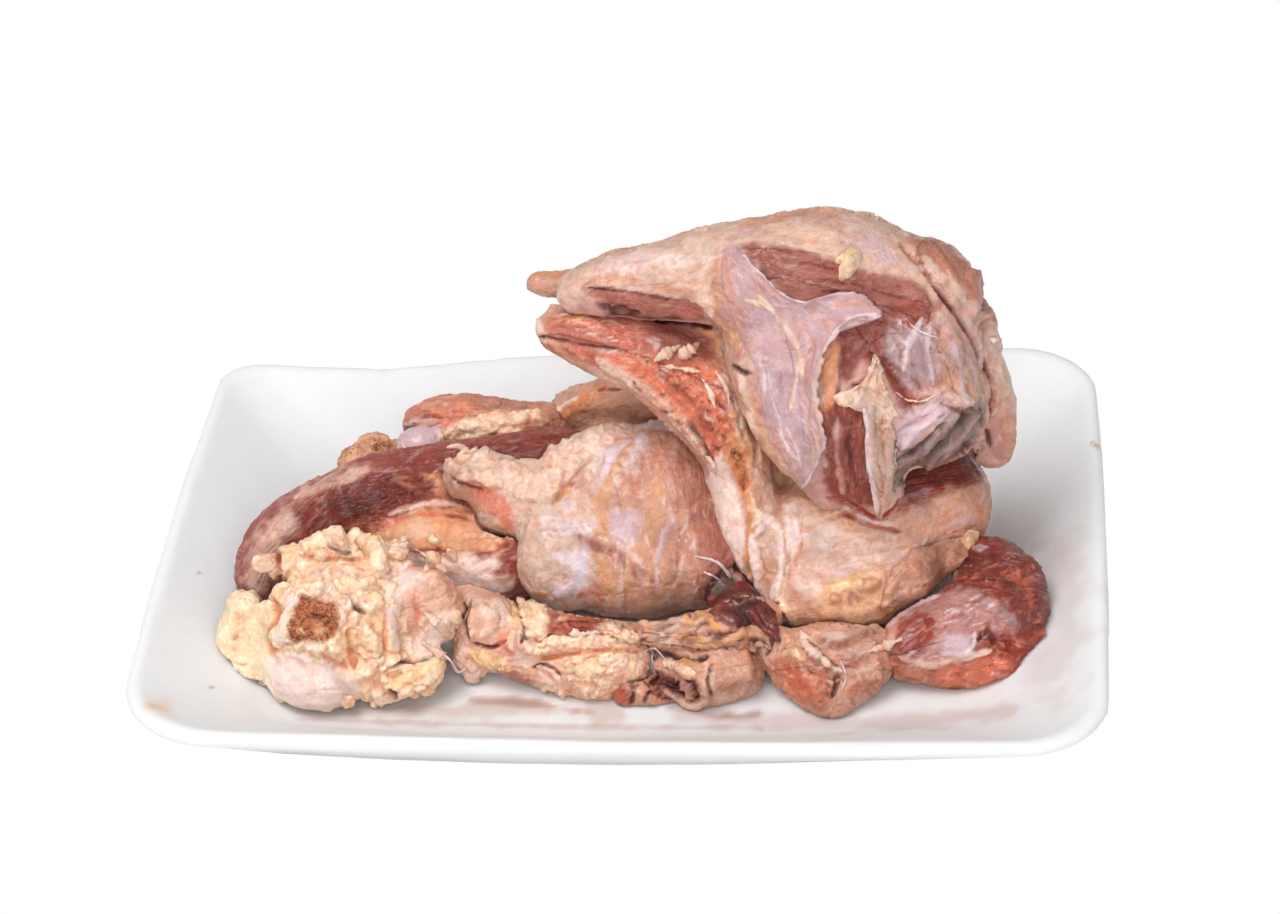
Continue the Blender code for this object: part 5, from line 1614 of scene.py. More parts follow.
        ([(900, 330), (940, 330), (980, 380), (940, 400), (900, 385), (900, 330)], [
            ("muscle", 10, 16, 3, -0.3, -60)]),
        ([(560, 262), (720, 235), (712, 290), (600, 282), (560, 262)], [
            ("lilacCartilage", 16, 34, 8, 0.1, 14), ("skinTan", 12, 30, 4, -0.1, 14)]),
        ([(720, 225), (870, 205), (930, 262), (880, 262), (800, 240), (720, 225)], [
            ("lilac", 16, 30, 6, 0.1, 0), ("skinTan", 12, 26, 4, 0.0, 0)]),
        ([(940, 262), (1003, 330), (1018, 420), (1003, 465), (990, 400), (970, 320), (940, 262)], [
            ("coral", 16, 22, 3.5, -0.1, -62), ("skinCream", 14, 22, 3, 0.2, -62)]),
    ],
}

meatPieces = (
    knuckleLook, shoulderLook, backLook, plateLook, tailLook, thighLook, gristleLook, rollLook,
    foldLook, neckLook, legLook, topLook)
for look in meatPieces:
    dressMeat(look)

# Thin pieces laid over the meat where the photo shows them
meatTrees = []


def rememberMeat():
    graph = bpy.context.evaluated_depsgraph_get()
    meatTrees.clear()
    for look in meatPieces:
        meatTrees.append(BVHTree.FromObject(bpy.data.objects[look["name"]], graph))


def depthAt(u, v):  # how far the meat is behind a spot of the photo, or nothing where there is none
    way = photoRay(u, v)
    hits = [tree.ray_cast(viewPoint, way)[3] for tree in meatTrees]
    hits = [hit for hit in hits if hit is not None]
    return min(hits) if hits else np.nan


def fillGaps(depths, rounds=60):  # spots beside the meat take the depth of their neighbours
    for _ in range(rounds):
        missing = np.isnan(depths)
        if not missing.any():
            break
        framed = np.pad(depths, 1, constant_values=np.nan)
        around = np.stack([framed[:-2, 1:-1], framed[2:, 1:-1], framed[1:-1, :-2], framed[1:-1, 2:]])
        count = (~np.isnan(around)).sum(0)
        mean = np.nansum(around, 0) / np.maximum(count, 1)
        depths = np.where(missing & (count > 0), mean, depths)
    return np.nan_to_num(depths, nan=float(np.nanmean(depths)))


def softenDepths(depths, rounds):  # evens out steps, without sinking behind the meat
    smooth = depths.copy()
    for _ in range(rounds):
        framed = np.pad(smooth, 1, mode="edge")
        mean = (framed[:-2, 1:-1] + framed[2:, 1:-1] + framed[1:-1, :-2] + framed[1:-1, 2:]) / 4
        smooth = np.minimum(mean, depths)
    return smooth


def spacePoint(u, v, depth):
    return viewPoint + photoRay(u, v) * depth


def closedMesh(name, points, faces):
    mesh = bpy.data.meshes.new(name)
    mesh.from_pydata([tuple(point) for point in points], [], faces)
    shape = bmesh.new()
    shape.from_mesh(mesh)
    bmesh.ops.recalc_face_normals(shape, faces=shape.faces)
    shape.to_mesh(mesh)
    shape.free()
    obj = bpy.data.objects.new(name, mesh)
    bpy.context.scene.collection.objects.link(obj)
    return obj


def evenly(path, count):
    curve = smoothPath(path, 8)
    steps = np.hypot(*np.diff(curve, axis=0).T)
    walked = np.concatenate([[0], np.cumsum(steps)])
    wanted = np.linspace(0, walked[-1], count)
    return np.stack([np.interp(wanted, walked, curve[:, k]) for k in (0, 1)], 1)


sheetSeed, sheetCell = 3, 2.2  # its own draws, and pixels between its points


def sheetSpots(look):  # rows and columns of photo places between the two borders, torn along the second
    left, right = look["borders"]
    lengths = [np.hypot(*np.diff(smoothPath(path), axis=0).T).sum() for path in (left, right)]
    rows = int(max(lengths) / sheetCell) + 2
    first, last = evenly(left, rows), evenly(right, rows)
    columns = max(5, int(np.hypot(*(last - first).T).max() / sheetCell) + 2)
    across = np.linspace(0, 1, columns)[None, :, None]
    spots = first[:, None] * (1 - across) + last[:, None] * across
    dice = np.random.default_rng(sheetSeed)
    torn = np.convolve(dice.normal(0, 1, rows + 6), np.ones(3) / 3, "same")[3:-3] * look.get("torn", 0.0)
    run = last - first
    outward = run[:, None] / (np.hypot(*run.T)[:, None, None] + 6)
    return spots + outward * torn[:, None, None] * across**6


def sheetFaces(rows, columns):  # top, underside and rim
    size = rows * columns
    faces = []
    for i in range(rows - 1):
        for j in range(columns - 1):
            a = i * columns + j
            faces.append((a, a + 1, a + columns + 1, a + columns))
            faces.append((size + a, size + a + columns, size + a + columns + 1, size + a + 1))
    rim = list(range(columns)) + [i * columns + columns - 1 for i in range(1, rows)]
    rim += [(rows - 1) * columns + j for j in range(columns - 2, -1, -1)]
    rim += [i * columns for i in range(rows - 2, 0, -1)]
    for a, b in zip(rim, rim[1:] + rim[:1]):
        faces.append((a, size + a, size + b, b))
    return faces


def drapedSheet(look):  # a thin sheet between two borders drawn on the photo
    spots = sheetSpots(look)
    rows, columns = spots.shape[:2]
    depths = np.array([[depthAt(*spot) for spot in row] for row in spots])
    depths = softenDepths(fillGaps(depths), look.get("taut", 6))
    s = np.linspace(0, 1, columns)[None, :]
    t = np.linspace(0, 1, rows)[:, None]
    liftLeft, liftMiddle, liftRight = look["lifts"]
    leftHalf = liftLeft + (liftMiddle - liftLeft) * 2 * s
    rightHalf = liftMiddle + (liftRight - liftMiddle) * (2 * s - 1) ** 2
    lift = np.where(s < 0.5, leftHalf, rightHalf)
    lift = lift * smoothStep(0, look.get("start", 0.05), t) * smoothStep(0, look.get("end", 0.05), 1 - t)
    wave = np.sin((s * look.get("ripples", 5) + 0.6 * np.sin(t * 5)) * 2 * math.pi)
    ripple = look.get("ripple", 0.0) * wave
    edge = np.minimum(1, np.minimum(np.minimum(s, 1 - s) * columns, np.minimum(t, 1 - t) * rows) / 3 + 0.25)
    top = depths - (lift + ripple * edge * 0.5 + look["thick"] * edge) * mm
    under = depths - np.maximum(lift - 0.2, -0.5) * mm
    under = np.maximum(under, top + 0.15 * mm)
    points = []
    for side in (top, under):
        points += [spacePoint(*spots[i, j], side[i, j]) for i in range(rows) for j in range(columns)]
    return closedMesh(look["name"], points, sheetFaces(rows, columns))


cordScale = 0.265  # mm across a cord for a pixel of the photo
cordSeed, cordCell = 5, 1.6  # its own draws, and pixels between its rings


def drapedCords(look):  # strips, shreds and strings, each a lumpy rounded ribbon along a path
    points, faces = [], []
    dice = np.random.default_rng(cordSeed)
    sides = look.get("sides", 10)
    for width, lift, path in look["strips"]:
        length = np.hypot(*np.diff(smoothPath(path), axis=0).T).sum()
        count = max(5, int(length / cordCell))
        spots = evenly(path, count)
        depths = fillGaps(np.array([[depthAt(*spot) for spot in spots]]))
        depths = softenDepths(depths, look.get("taut", 5))[0]
        t = np.linspace(0, 1, count)
        uneven = np.convolve(dice.normal(0, 1, count + 8), np.ones(5) / 5, "same")[4:-4]
        radius = width / 2 * cordScale * (1 + look.get("uneven", 0.5) * uneven)
        radius *= np.clip(np.sqrt(np.clip(4 * t * (1 - t), 0, 1)) * 1.15, look.get("tip", 0.25), 1)
        radius = np.maximum(radius, 0.12)
        arch = lift * np.sin(math.pi * t)
        first = len(points)
        ways = np.gradient(spots, axis=0)
        for k in range(count):
            centre = spacePoint(*spots[k], depths[k] - (arch[k] + radius[k] * 0.35) * mm)
            way = viewRight * float(ways[k][0]) - viewUp * float(ways[k][1])
            side = way.cross(viewBack).normalized()
            for turn in range(sides):
                angle = 2 * math.pi * turn / sides
                flat = look.get("flat", 0.6)
                out = side * (math.cos(angle) * radius[k]) + viewBack * (math.sin(angle) * radius[k] * flat)
                points.append(centre + out * mm)
        for k in range(count - 1):
            for turn in range(sides):
                a, b = first + k * sides + turn, first + k * sides + (turn + 1) % sides
                faces.append((a, b, b + sides, a + sides))
        faces.append(tuple(first + turn for turn in range(sides)))
        faces.append(tuple(first + (count - 1) * sides + turn for turn in range(sides)))
    return closedMesh(look["name"], points, faces)


def dressThin(look, maker):
    piece = startPiece(maker(look), look["base"])
    for finish, cell, level, strength in look.get("blotches", ()):
        mottle(piece, finish, cell, level, strength, shift=cell)
    decorate(piece, look)


flapLook = {
    "name": "lilac_membrane_flap",
    "slot": "skin",
    "base": "flapLilac",
    "blotches": [("lilac", 7, 0.3, 0.6), ("skinMauve", 9, 0.3, 0.6)],
    "borders": (
        [(723, 250), (722, 272), (725, 291), (733, 317), (746, 349), (757, 374), (762, 403), (769, 440),
         (780, 452),
         (800, 488)],
        [(737, 247), (758, 270), (782, 293), (806, 302), (824, 297), (846, 292), (867, 298), (882, 317),
         (862, 316),
         (846, 321), (835, 334), (822, 356), (817, 388), (821, 420), (825, 442), (811, 474), (802, 489)],
    ),
    "lifts": (0.0, 0.3, 2.2),
    "thick": 0.7,
    "torn": 2.0,
    "taut": 10,
    "ripple": 0.25,
    "ripples": 5,
    "start": 0.1,
    "end": 0.06,
    "relief": {"lump size": 5.0, "lump height": 0.2, "swell": 0.3, "fine": 0.12},
    "fibres": [[(730, 260), (770, 340), (800, 480)], [(745, 260), (800, 320), (818, 460)]],
    "marks": {
        "fringe": ("lilacWhite", 2.5, 0.3, [
            (838, 330), (826, 350), (819, 388), (823, 420), (826, 442), (813, 474), (802, 487)]),
        "pointed edge": ("lilacWhite", 2.5, 0.3, [(846, 320), (864, 315), (880, 316)]),
        "upper edge": ("lilacWhite", 2, 0.2, [(742, 252), (760, 272), (784, 294), (806, 303)]),
        "pink point": ("skinMauve", 6, 0.0, [(836, 304), (856, 302), (872, 310)]),
        "shade in fold": ("skinMauve", 6, -0.5, [(806, 308), (824, 312), (830, 330)]),
        "mauve side": ("skinMauve", 8, 0.0, [(726, 258), (732, 300), (746, 340), (758, 380)]),
        "lower mauve": ("skinMauve", 6, 0.0, [(770, 430), (790, 470), (800, 486)]),
        "vein": ("skinCream", 3.5, 0.5, [(758, 296), (776, 314), (790, 334), (800, 352), (804, 382)]),
        "vein branch": ("skinCream", 2.5, 0.3, [(744, 300), (764, 306), (780, 318)]),
        "second vein": ("skinCream", 2.0, 0.3, [(800, 352), (796, 385), (790, 410)]),
        "pink fold": ("skinMauve", 4, -0.3, [(806, 330), (812, 352), (806, 385), (808, 430)]),
        "pale border": ("skinPale", 3, 0.3, [
            (832, 322), (832, 348), (817, 372), (815, 402), (820, 432), (812, 466)]),
    },
    "dabs": [
        ([(726, 262), (760, 280), (790, 330), (780, 380), (745, 340), (726, 262)], [
            ("skinMauve", 16, 34, 4, -0.2, -64)]),
        ([(760, 380), (820, 390), (822, 440), (802, 484), (774, 440), (760, 380)], [
            ("lilacWhite", 22, 34, 3, 0.25, -72), ("skinMauve", 20, 34, 3, -0.25, -72)]),
        ([(780, 300), (836, 316), (830, 350), (812, 380), (790, 330), (780, 300)], [
            ("lilac", 14, 26, 5, 0.2, -80)]),
        ([(730, 262), (810, 300), (820, 470), (790, 460), (740, 320), (730, 262)], [
            ("skinCream", 8, 16, 2, 0.2, -70)]),
    ],
}

shredLook = {
    "name": "cream_shreds",
    "slot": "fat",
    "base": "skinCream",
    "blotches": [("yellowFat", 5, 0.5, 0.5), ("coral", 5, 0.6, 0.5)],
    "uneven": 0.8,
    "flat": 0.7,
    "relief": {"lump size": 3.0, "lump height": 0.5, "swell": 0.2, "fine": 0.2},
    "fibres": [[(860, 360), (880, 420)]],
    "strips": [
        (7, 0.8, [(834, 400), (846, 402), (856, 396), (866, 400)]),
        (5, 0.8, [(840, 392), (848, 398), (852, 408)]),
        (4, 0.8, [(866, 376), (874, 366), (876, 356)]),
        (3, 0.4, [(896, 392), (908, 400), (922, 401), (934, 396)]),
        (9, 0.9, [(654, 362), (664, 354), (676, 348), (682, 346)]),
        (9, 0.9, [(678, 358), (690, 350), (700, 342)]),
        (4, 0.5, [(658, 366), (680, 368), (702, 372)]),
        (4, 0.3, [(700, 376), (710, 392), (716, 410)]),
        (3.5, 0.3, [(716, 372), (726, 388), (730, 408)]),
        (8, 0.3, [(800, 640), (816, 654), (833, 669)]),
        (6, 0.5, [(868, 652), (884, 646), (902, 639)]),
        (5, 0.5, [(386, 548), (402, 545), (420, 552), (432, 562)]),
        (6, 0.4, [(420, 572), (436, 566), (452, 572)]),
        (7, 0.5, [(424, 612), (440, 626), (452, 640)]),
        (6, 0.5, [(420, 640), (436, 652), (446, 660)]),
        (5, 0.5, [(446, 448), (458, 446), (470, 452), (478, 446)]),
        (5, 0.4, [(560, 628), (580, 634), (602, 632), (622, 638)]),
        (6, 0.4, [(536, 666), (552, 672), (562, 684)]),
        (5, 0.4, [(700, 452), (712, 462), (716, 476)]),
    ],
}

stringLook = {
    "name": "white_strings",
    "slot": "skin",
    "base": "lilacWhite",
    "uneven": 0.2,
    "flat": 0.9,
    "tip": 0.6,
    "sides": 8,
    "relief": {"lump size": 3.0, "lump height": 0.0, "swell": 0.1, "fine": 0.03},
    "fibres": [[(700, 560), (740, 600)]],
    "strips": [
        (2.2, 2.5, [(694, 556), (716, 562), (730, 578), (738, 600)]),
        (1.8, 2.0, [(704, 572), (722, 582), (736, 604)]),
        (1.6, 1.5, [(716, 560), (728, 572), (734, 590)]),
        (3.0, 1.5, [(440, 652), (450, 660), (458, 672), (466, 668)]),
        (2.4, 1.2, [(644, 652), (654, 648), (664, 658), (676, 674)]),
        (2.0, 0.6, [(905, 318), (918, 330), (938, 338)]),
        (1.8, 0.5, [(840, 660), (846, 676), (842, 690)]),
    ],
}

whiteStripLook = {
    "name": "white_sinew_strip",
    "slot": "skin",
    "base": "skinPale",
    "blotches": [("lilac", 5, 0.2, 0.6), ("skinMauve", 5, 0.3, 0.7)],
    "borders": (
        [(862, 404), (866, 430), (866, 462), (872, 492), (877, 518)],
        [(884, 402), (894, 432), (897, 462), (894, 490), (882, 519)],
    ),
    "lifts": (1.3, 0.5, 0.2),
    "thick": 0.8,
    "torn": 4.0,
    "taut": 5,
    "ripple": 0.6,
    "ripples": 2.5,
    "marks": {
        "blue edge": ("lilacWhite", 4, 0.3, [(864, 408), (868, 440), (869, 470), (876, 512)]),
        "brown fold": ("muscleTan", 4, -0.4, [(878, 410), (882, 450), (882, 496)]),
        "pale right": ("skinPale", 4, 0.3, [(888, 420), (892, 456), (888, 490)]),
        "dark right": ("oliveDark", 3, -0.3, [(896, 440), (898, 470), (894, 492)]),
    },
    "dabs": [
        ([(866, 410), (890, 410), (896, 470), (880, 515), (868, 470), (866, 410)], [
            ("skinMauve", 12, 20, 3, -0.3, 86)]),
    ],
    "relief": {"lump size": 4.0, "lump height": 0.3, "swell": 0.3, "fine": 0.15},
    "fibres": [[(872, 400), (880, 518)]],
}

tornLook = {
    "name": "torn_tissue_under_the_thigh",
    "slot": "skin",
    "base": "skinTan",
    # the dark brown blotches are painted shade scattered among the shreds
    "blotches": [("goldFat", 5, 0.1, 0.7), ("coral", 5, 0.4, 0.6), ("brownGap", 4, 0.7, 0.7)],
    "borders": (
        [(520, 600), (560, 612), (600, 618), (650, 622), (700, 612), (735, 596), (764, 596)],
        [(526, 640), (560, 632), (600, 632), (646, 646), (690, 650), (740, 648), (772, 650)],
    ),
    "lifts": (0.0, 1.0, 0.3),
    "thick": 1.0,
    "torn": 3.0,
    "taut": 60,
    "ripple": 0.9,
    "ripples": 2.5,
    "relief": {"lump size": 3.6, "lump height": 1.0, "swell": 0.5, "creases": 1.2, "fine": 0.4},
    "fibres": [[(520, 620), (600, 630), (770, 630)]],
    # Painted shade: dark crevice, dark under triangle, deep gap, dark right gap and the near-black mark in
    # the top right corner darken the crevices, gaps and a hole.
    "marks": {
        "cream left": ("creamFat", 5, 0.8, [
            (514, 600), (560, 612), (600, 620), (640, 626), (640, 656), (600, 646), (514, 646), (514, 600)]),
        "red fold": ("ribRust", 4, -0.3, [
            (548, 612), (576, 616), (604, 612), (604, 624), (584, 634), (562, 638), (548, 626), (548, 612)]),
        "dark crevice": ("clot", 6, -1.2, [(612, 620), (630, 626), (648, 636)]),
        "bright fold": ("ribBright", 3, -0.2, [(560, 620), (574, 628), (572, 636)]),
        "red crease": ("bloodRed", 2.5, -0.6, [(568, 622), (576, 632), (566, 638)]),
        "pale triangle": ("skinPale", 5, 0.5, [
            (642, 622), (690, 614), (680, 630), (664, 644), (650, 636), (642, 622)]),
        "dark under triangle": ("muscleDeep", 4, -0.9, [(638, 630), (648, 642), (662, 650), (690, 648)]),
        "deep gap": ("clot", 4, -1.0, [(640, 640), (652, 650), (664, 656)]),
        "gold rag": ("goldFat", 6, 0.8, [(684, 624), (700, 616), (716, 626), (708, 640), (690, 644)]),
        "second gold rag": ("thighGold", 6, 0.9, [(712, 634), (728, 640), (744, 634)]),
        "rag shadow": ("muscleDeep", 3, -1.2, [(690, 634), (704, 632), (718, 636), (738, 628)]),
        "clotted corner": ("clot", 9, -1.0, [(712, 602), (732, 600), (750, 606)]),
        "wine red": ("wine", 8, 0.0, [(716, 620), (730, 616), (748, 620)]),
        "wine fold": ("bloodRed", 3, 0.4, [(724, 612), (734, 620), (746, 614)]),
        "olive corner": ("oliveDark", 7, -0.4, [(714, 596), (726, 588), (746, 590)]),
        "dark right gap": ("clot", 8, -0.8, [(752, 640), (764, 646), (772, 654)]),
    },
    "dabs": [
        ([(530, 604), (640, 620), (640, 640), (530, 636), (530, 604)], [
            ("creamFat", 10, 14, 8, 0.9, 0), ("ribRust", 12, 10, 3, -0.6, 0)]),
        # painted shade: deep red strokes sunk into the creases of the rags
        ([(644, 622), (700, 614), (718, 632), (765, 634), (768, 648), (645, 650), (644, 622)], [
            ("goldFat", 12, 16, 6, 0.9, 16), ("skinPale", 14, 16, 4, 0.7, 16),
            ("muscleDeep", 34, 16, 4.5, -1.3, 16)]),
    ],
}

ragLook = {
    "name": "torn_cream_rag",
    "slot": "skin",
    "base": "skinCream",
    "blotches": [("skinTan", 5, 0.2, 0.7), ("coral", 5, 0.5, 0.6)],
    "borders": (
        [(874, 354), (868, 372), (858, 386), (834, 396), (842, 404), (862, 404)],
        [(879, 357), (884, 376), (888, 394), (896, 412), (892, 428), (880, 430)],
    ),
    "lifts": (0.8, 0.3, 1.0),
    "thick": 0.8,
    "torn": 4.0,
    "taut": 8,
    "ripple": 0.7,
    "ripples": 3,
    "relief": {"lump size": 3.0, "lump height": 0.6, "swell": 0.3, "fine": 0.3, "creases": 1.3},
    "fibres": [[(876, 356), (872, 380), (880, 424)]],
    "dabs": [
        ([(850, 380), (876, 362), (888, 394), (880, 424), (850, 400), (850, 380)], [
            ("muscleTan", 12, 12, 4, -0.4, 60), ("lilacWhite", 10, 12, 3, 0.3, 60)]),
    ],
}

edgeLook = {
    "name": "skin_edge_beside_the_leg",
    "slot": "skin",
    "base": "skinTan",
    "blotches": [("skinBrown", 5, 0.1, 0.7), ("bodyFat", 6, 0.4, 0.6)],
    "borders": (
        [(886, 574), (910, 552), (930, 544), (948, 538), (966, 536)],
        [(880, 610), (904, 602), (926, 594), (946, 578), (970, 556)],
    ),
    "lifts": (0.3, 0.8, 0.3),
    "thick": 1.2,
    "torn": 1.5,
    "taut": 60,
    "ripple": 0.6,
    "ripples": 2,
    "relief": {"lump size": 3.6, "lump height": 1.0, "swell": 0.4, "creases": 1.2, "fine": 0.3},
    "fibres": [[(880, 600), (920, 580), (970, 545)]],
    "dabs": [
        ([(882, 576), (966, 540), (968, 556), (884, 608), (882, 576)], [
            ("bodyFat", 12, 10, 6, 0.7, None)]),
        # painted shade: thin brown strokes in the creases
        ([(882, 590), (966, 550), (968, 560), (884, 608), (882, 590)], [
            ("brownGap", 12, 9, 3, -0.7, 30)]),
    ],
}

# A dark tuft of tissue laid into the corner between the thigh, the roll and the body; its near-black colour
# is partly its own and partly painted shade of the hole it sits in.
clotLook = {
    "name": "dark_clotted_tissue",
    "slot": "dark_meat",
    "base": "wine",
    "blotches": [("clot", 5, -0.2, 0.95), ("bloodRed", 4, 0.6, 0.7), ("maroonMeat", 6, 0.6, 0.8)],
    "borders": (
        [(704, 592), (716, 575), (733, 569), (748, 580), (760, 596), (776, 612)],
        [(708, 612), (720, 622), (736, 629), (752, 627), (764, 635), (780, 640)],
    ),
    "lifts": (0.2, 2.2, 1.2),
    "thick": 1.0,
    "torn": 3.0,
    "taut": 60,
    "ripple": 0.8,
    "ripples": 2,
    "relief": {"lump size": 3.4, "lump height": 1.2, "swell": 0.5, "creases": 1.2, "fine": 0.4},
    "fibres": [[(706, 600), (740, 606), (776, 626)]],
    "marks": {
        "tuft": ("oliveDark", 9, -0.4, [(714, 592), (726, 580), (742, 584)]),
        "lower brown": ("skinBrown", 5, 0.3, [(708, 616), (722, 624), (738, 630)]),
    },
}

for look in (flapLook, whiteStripLook, ragLook, tornLook, edgeLook, clotLook):
    rememberMeat()
    dressThin(look, drapedSheet)
for look in (shredLook, stringLook):
    dressThin(look, drapedCords)


# Crumbs of fat, scattered by a Geometry Nodes group round spots of the photo
crumbLook = {
    "name": "fat_crumbs",
    "slot": "fat",
    "finish": "yellowFat",
    "size": 0.0026,
    "seed": 4,
    "spots": [  # photo place, spread in pixels, how many
        (330, 556, 24, 2), (400, 552, 14, 2), (436, 566, 14, 3), (446, 626, 12, 2), (350, 700, 12, 2),
    ],
    "large": [(851, 266, 1.5), (993, 339, 0.8), (969, 543, 1.2), (268, 562, 1.3), (843, 259, 0.7),
        (433, 540, 0.7)],
}


def crumbTree():
    tree = bpy.data.node_groups.new("scattered crumbs", "GeometryNodeTree")
    addSocket = tree.interface.new_socket
    kinds = {"Geometry": "Geometry", "Size": "Float", "Seed": "Int", "Material": "Material"}
    for label, kind in kinds.items():
        addSocket(label, in_out="INPUT", socket_type="NodeSocket" + kind)
    addSocket("Geometry", in_out="OUTPUT", socket_type="NodeSocketGeometry")
    start, end = tree.nodes.new("NodeGroupInput"), tree.nodes.new("NodeGroupOutput")
    ball = addNode(tree, "GeometryNodeMeshIcoSphere", {"Radius": 1.0, "Subdivisions": 3})
    bump = addNode(tree, "ShaderNodeTexNoise", {"Scale": 1.1, "Detail": 3.0})
    values = {0: bump.outputs["Color"], 1: (0.5, 0.5, 0.5)}
    out = addNode(tree, "ShaderNodeVectorMath", values, operation="SUBTRACT")
    values = {0: out.outputs[0], 1: (1.3, 1.3, 1.3)}
    push = addNode(tree, "ShaderNodeVectorMath", values, operation="MULTIPLY")
    values = {"Geometry": ball.outputs["Mesh"], "Offset": push.outputs[0]}
    lumpy = addNode(tree, "GeometryNodeSetPosition", values)
    turn = addNode(tree, "FunctionNodeRandomValue", data_type="FLOAT_VECTOR")
    turn.inputs["Max"].default_value = (6.28, 6.28, 6.28)  # any turn, in radians
    scale = addNode(tree, "FunctionNodeRandomValue", data_type="FLOAT_VECTOR")
    scale.inputs["Min"].default_value = (0.5, 0.4, 0.3)
    scale.inputs["Max"].default_value = (1.4, 1.1, 0.8)
    own = addNode(tree, "GeometryNodeInputNamedAttribute", data_type="FLOAT")
    own.inputs["Name"].default_value = "bigness"
    size = addNode(tree, "ShaderNodeVectorMath", {0: scale.outputs[0]}, operation="SCALE")
    tree.links.new(calc(tree, "MULTIPLY", start.outputs["Size"], own.outputs[0]), size.inputs["Scale"])
    place = addNode(tree, "GeometryNodeInstanceOnPoints", {
        "Points": start.outputs["Geometry"], "Instance": lumpy.outputs[0], "Rotation": turn.outputs[0],
        "Scale": size.outputs[0]})
    tree.links.new(start.outputs["Seed"], turn.inputs["Seed"])
    tree.links.new(start.outputs["Seed"], scale.inputs["Seed"])
    solid = addNode(tree, "GeometryNodeRealizeInstances", {0: place.outputs[0]})
    values = {"Geometry": solid.outputs[0], "Material": start.outputs["Material"]}
    dressed = addNode(tree, "GeometryNodeSetMaterial", values)
    tree.links.new(dressed.outputs[0], end.inputs[0])
    return tree


def makeCrumbs():
    dice = np.random.default_rng(crumbLook["seed"])
    points, bigness = [], []
    wanted = [(u, v, big) for u, v, big in crumbLook["large"]]
    for u, v, spread, count in crumbLook["spots"]:
        for _ in range(count):
            side, up = dice.normal(0, spread / 2), dice.normal(0, spread / 2.6)
            wanted.append((u + side, v + up, dice.uniform(0.4, 1.15)))
    for u, v, big in wanted:
        depth = depthAt(u, v)
        if not np.isnan(depth):
            points.append(tuple(spacePoint(u, v, depth - 0.2 * mm * big)))
            bigness.append(big)
    mesh = bpy.data.meshes.new("crumb places")
    mesh.from_pydata(points, [], [])
    mesh.attributes.new("bigness", "FLOAT", "POINT").data.foreach_set("value", bigness)
    obj = bpy.data.objects.new(crumbLook["name"], mesh)
    bpy.context.scene.collection.objects.link(obj)
    tree = crumbTree()
    scatter = obj.modifiers.new("crumbs", "NODES")
    scatter.node_group = tree
    values = {"Size": crumbLook["size"], "Seed": crumbLook["seed"], "Material": materials[crumbLook["slot"]]}
    for item in tree.interface.items_tree:
        if item.in_out == "INPUT" and item.name in values:
            scatter[item.identifier] = values[item.name]
    obj.data = modified(obj)
    obj.data.name = crumbLook["name"]
    piece = startPiece(obj, crumbLook["finish"])
    mottle(piece, "creamFat", 4, -0.6, 1.0, 2.0)
    mottle(piece, "pinkTan", 5, 0.5, 0.7, 7.0)
    piece["flow"] = np.zeros((len(piece["points"]), 3))
    relief = {"lump size": 2.0, "lump height": 0.2, "swell": 0.0, "fine": 0.15}
    finishPiece(piece, relief, materials[crumbLook["slot"]], None)


makeCrumbs()

# The foam tray
trayLook = {
    "name": "white_foam_tray",
    "stands for": "foam_tray",
    "slot": "foam",
    "grain": 1.25,
    "softening": 3,
    "colour": (0.76, 0.765, 0.77),
    "wave": 0.25,
    "beads": 320.0,
    # juice stains and specks on the tray, and one painted shadow
    "stains": {
        "juice pool": ((230, 212, 206), 9, [(330, 704), (420, 712), (520, 708), (620, 716)]),
        "deeper juice": ((212, 184, 172), 4, [(470, 700), (530, 704), (590, 712)]),
        "front line": ((230, 212, 206), 3, [(300, 718), (450, 724), (600, 727), (760, 728)]),
        "right pool": ((234, 218, 215), 8, [(680, 716), (800, 722), (900, 722), (1010, 712)]),
        "right deeper": ((206, 176, 168), 4, [(670, 706), (720, 716), (760, 714)]),
        # painted shadow of the heap on the tray floor at the right
        "right floor": ((238, 228, 228), 26, [(1060, 560), (1068, 620), (1050, 680)]),
        "drip": ((252, 236, 220), 10, [(148, 706), (166, 708)]),
        "drip heart": ((250, 230, 208), 6, [(150, 706), (162, 708)]),
        "smear": ((226, 182, 152), 4, [(570, 712), (580, 713)]),
        "speck": ((150, 96, 70), 1.6, [(197, 574), (199, 574)]),
        "second speck": ((170, 120, 96), 1.4, [(210, 688), (212, 688)]),
        "rim mark": ((214, 168, 142), 2.5, [(1092, 443), (1098, 447)]),
    },
}


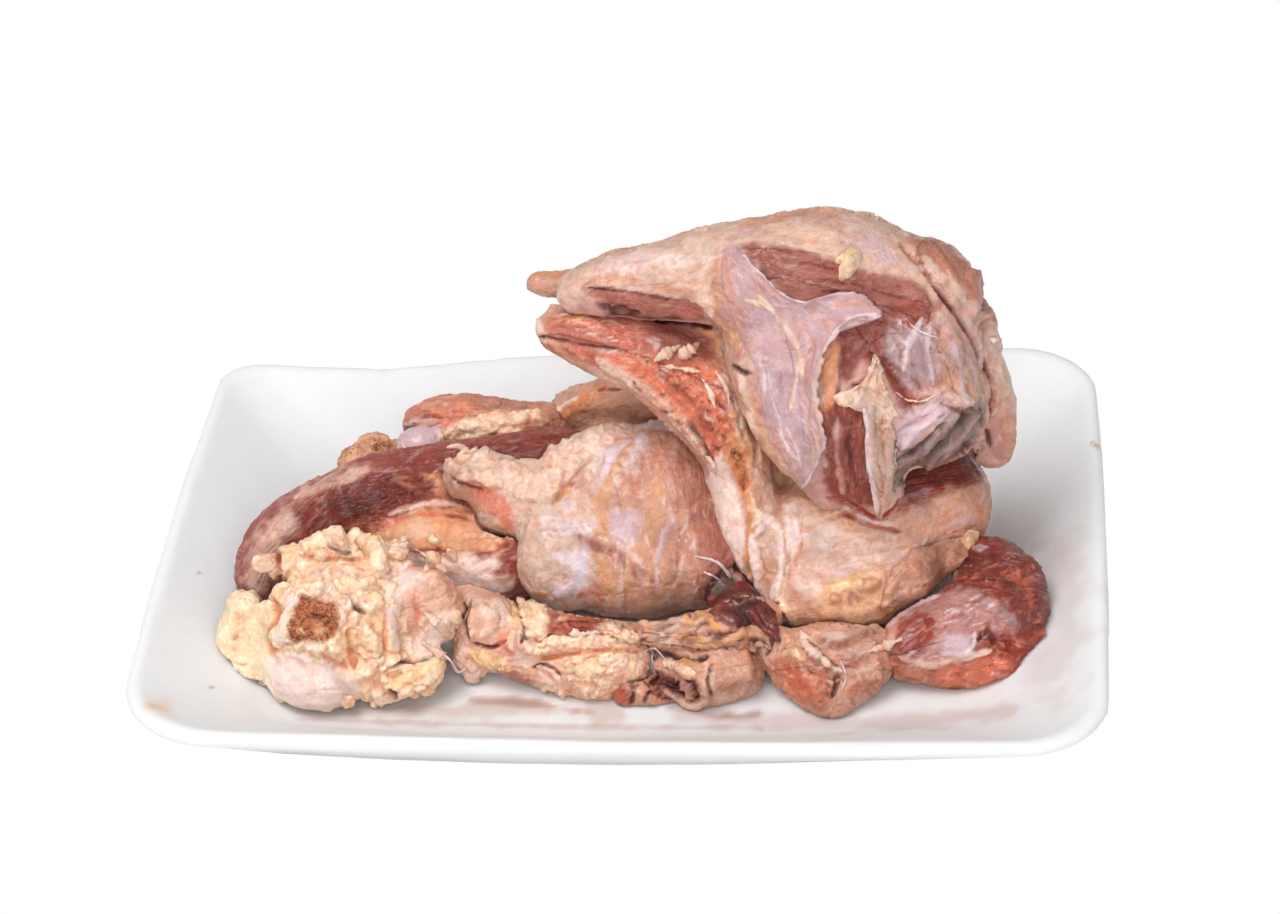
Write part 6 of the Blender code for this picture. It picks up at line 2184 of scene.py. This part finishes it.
def foamMaterial():
    material = bpy.data.materials.new("white foam")
    material.use_nodes = True
    tree = material.node_tree
    shader = tree.nodes["Principled BSDF"]
    paint = addNode(tree, "ShaderNodeAttribute", attribute_name="paint").outputs["Color"]
    place = addNode(tree, "ShaderNodeTexCoord").outputs["Object"]
    cells = addNode(tree, "ShaderNodeTexVoronoi", {"Vector": place, "Scale": trayLook["beads"]})
    fine = addNode(tree, "ShaderNodeTexNoise", {"Vector": place, "Scale": 900.0, "Detail": 3.0})
    tint = blendColours(tree, ramp(tree, cells.outputs["Distance"], 0.2, 0.8, 0.0, 0.25), paint,
                        blendColours(tree, 1.0, paint, (0.95, 0.95, 0.95, 1), "MULTIPLY"))
    tree.links.new(tint, shader.inputs["Base Color"])
    height = calc(tree, "ADD", calc(tree, "MULTIPLY", cells.outputs["Distance"], -0.6),
                  calc(tree, "MULTIPLY", fine.outputs["Fac"], 0.5))
    bump = addNode(tree, "ShaderNodeBump", {"Height": height, "Strength": 0.25, "Distance": 0.0003})
    tree.links.new(bump.outputs["Normal"], shader.inputs["Normal"])
    shader.inputs["Roughness"].default_value = 0.5
    shader.inputs["Specular IOR Level"].default_value = 0.35
    shader.inputs["Subsurface Weight"].default_value = 0.25
    shader.inputs["Subsurface Radius"].default_value = (1.0, 1.0, 1.0)
    shader.inputs["Subsurface Scale"].default_value = 0.003
    return material


def dressTray():
    obj = fineCopy(trayLook["name"], trayLook["stands for"], trayLook["grain"], trayLook["softening"])
    points, normals = meshArrays(obj.data)
    spots, depth = photoPlace(points)
    wander = roughNoise(points, 6.0, 3, 1.7)
    colour = np.tile(np.array(trayLook["colour"]), (len(points), 1))
    up = smoothStep(-0.2, 0.2, normals[:, 2])
    for tone, width, path in trayLook["stains"].values():
        distance, along, side = pathDistance(spots, smoothPath(path))
        share = (1 - smoothStep(0.1, 1.5, distance / width + wander * 0.6)) * up * 0.9
        colour *= 1 + (brightness(tone) * 1.02 - 1) * share[:, None]
    wave = (trayLook["wave"] * softNoise(points, 22.0, 3.0) * mm)[:, None] * (points[:, 2:] > 0.002)
    moved = points + normals * wave
    attributes = {"paint": np.concatenate([colour, np.ones((len(points), 1))], 1)}
    handOver(obj, moved, attributes, foamMaterial(), trayLook["stands for"])


dressTray()
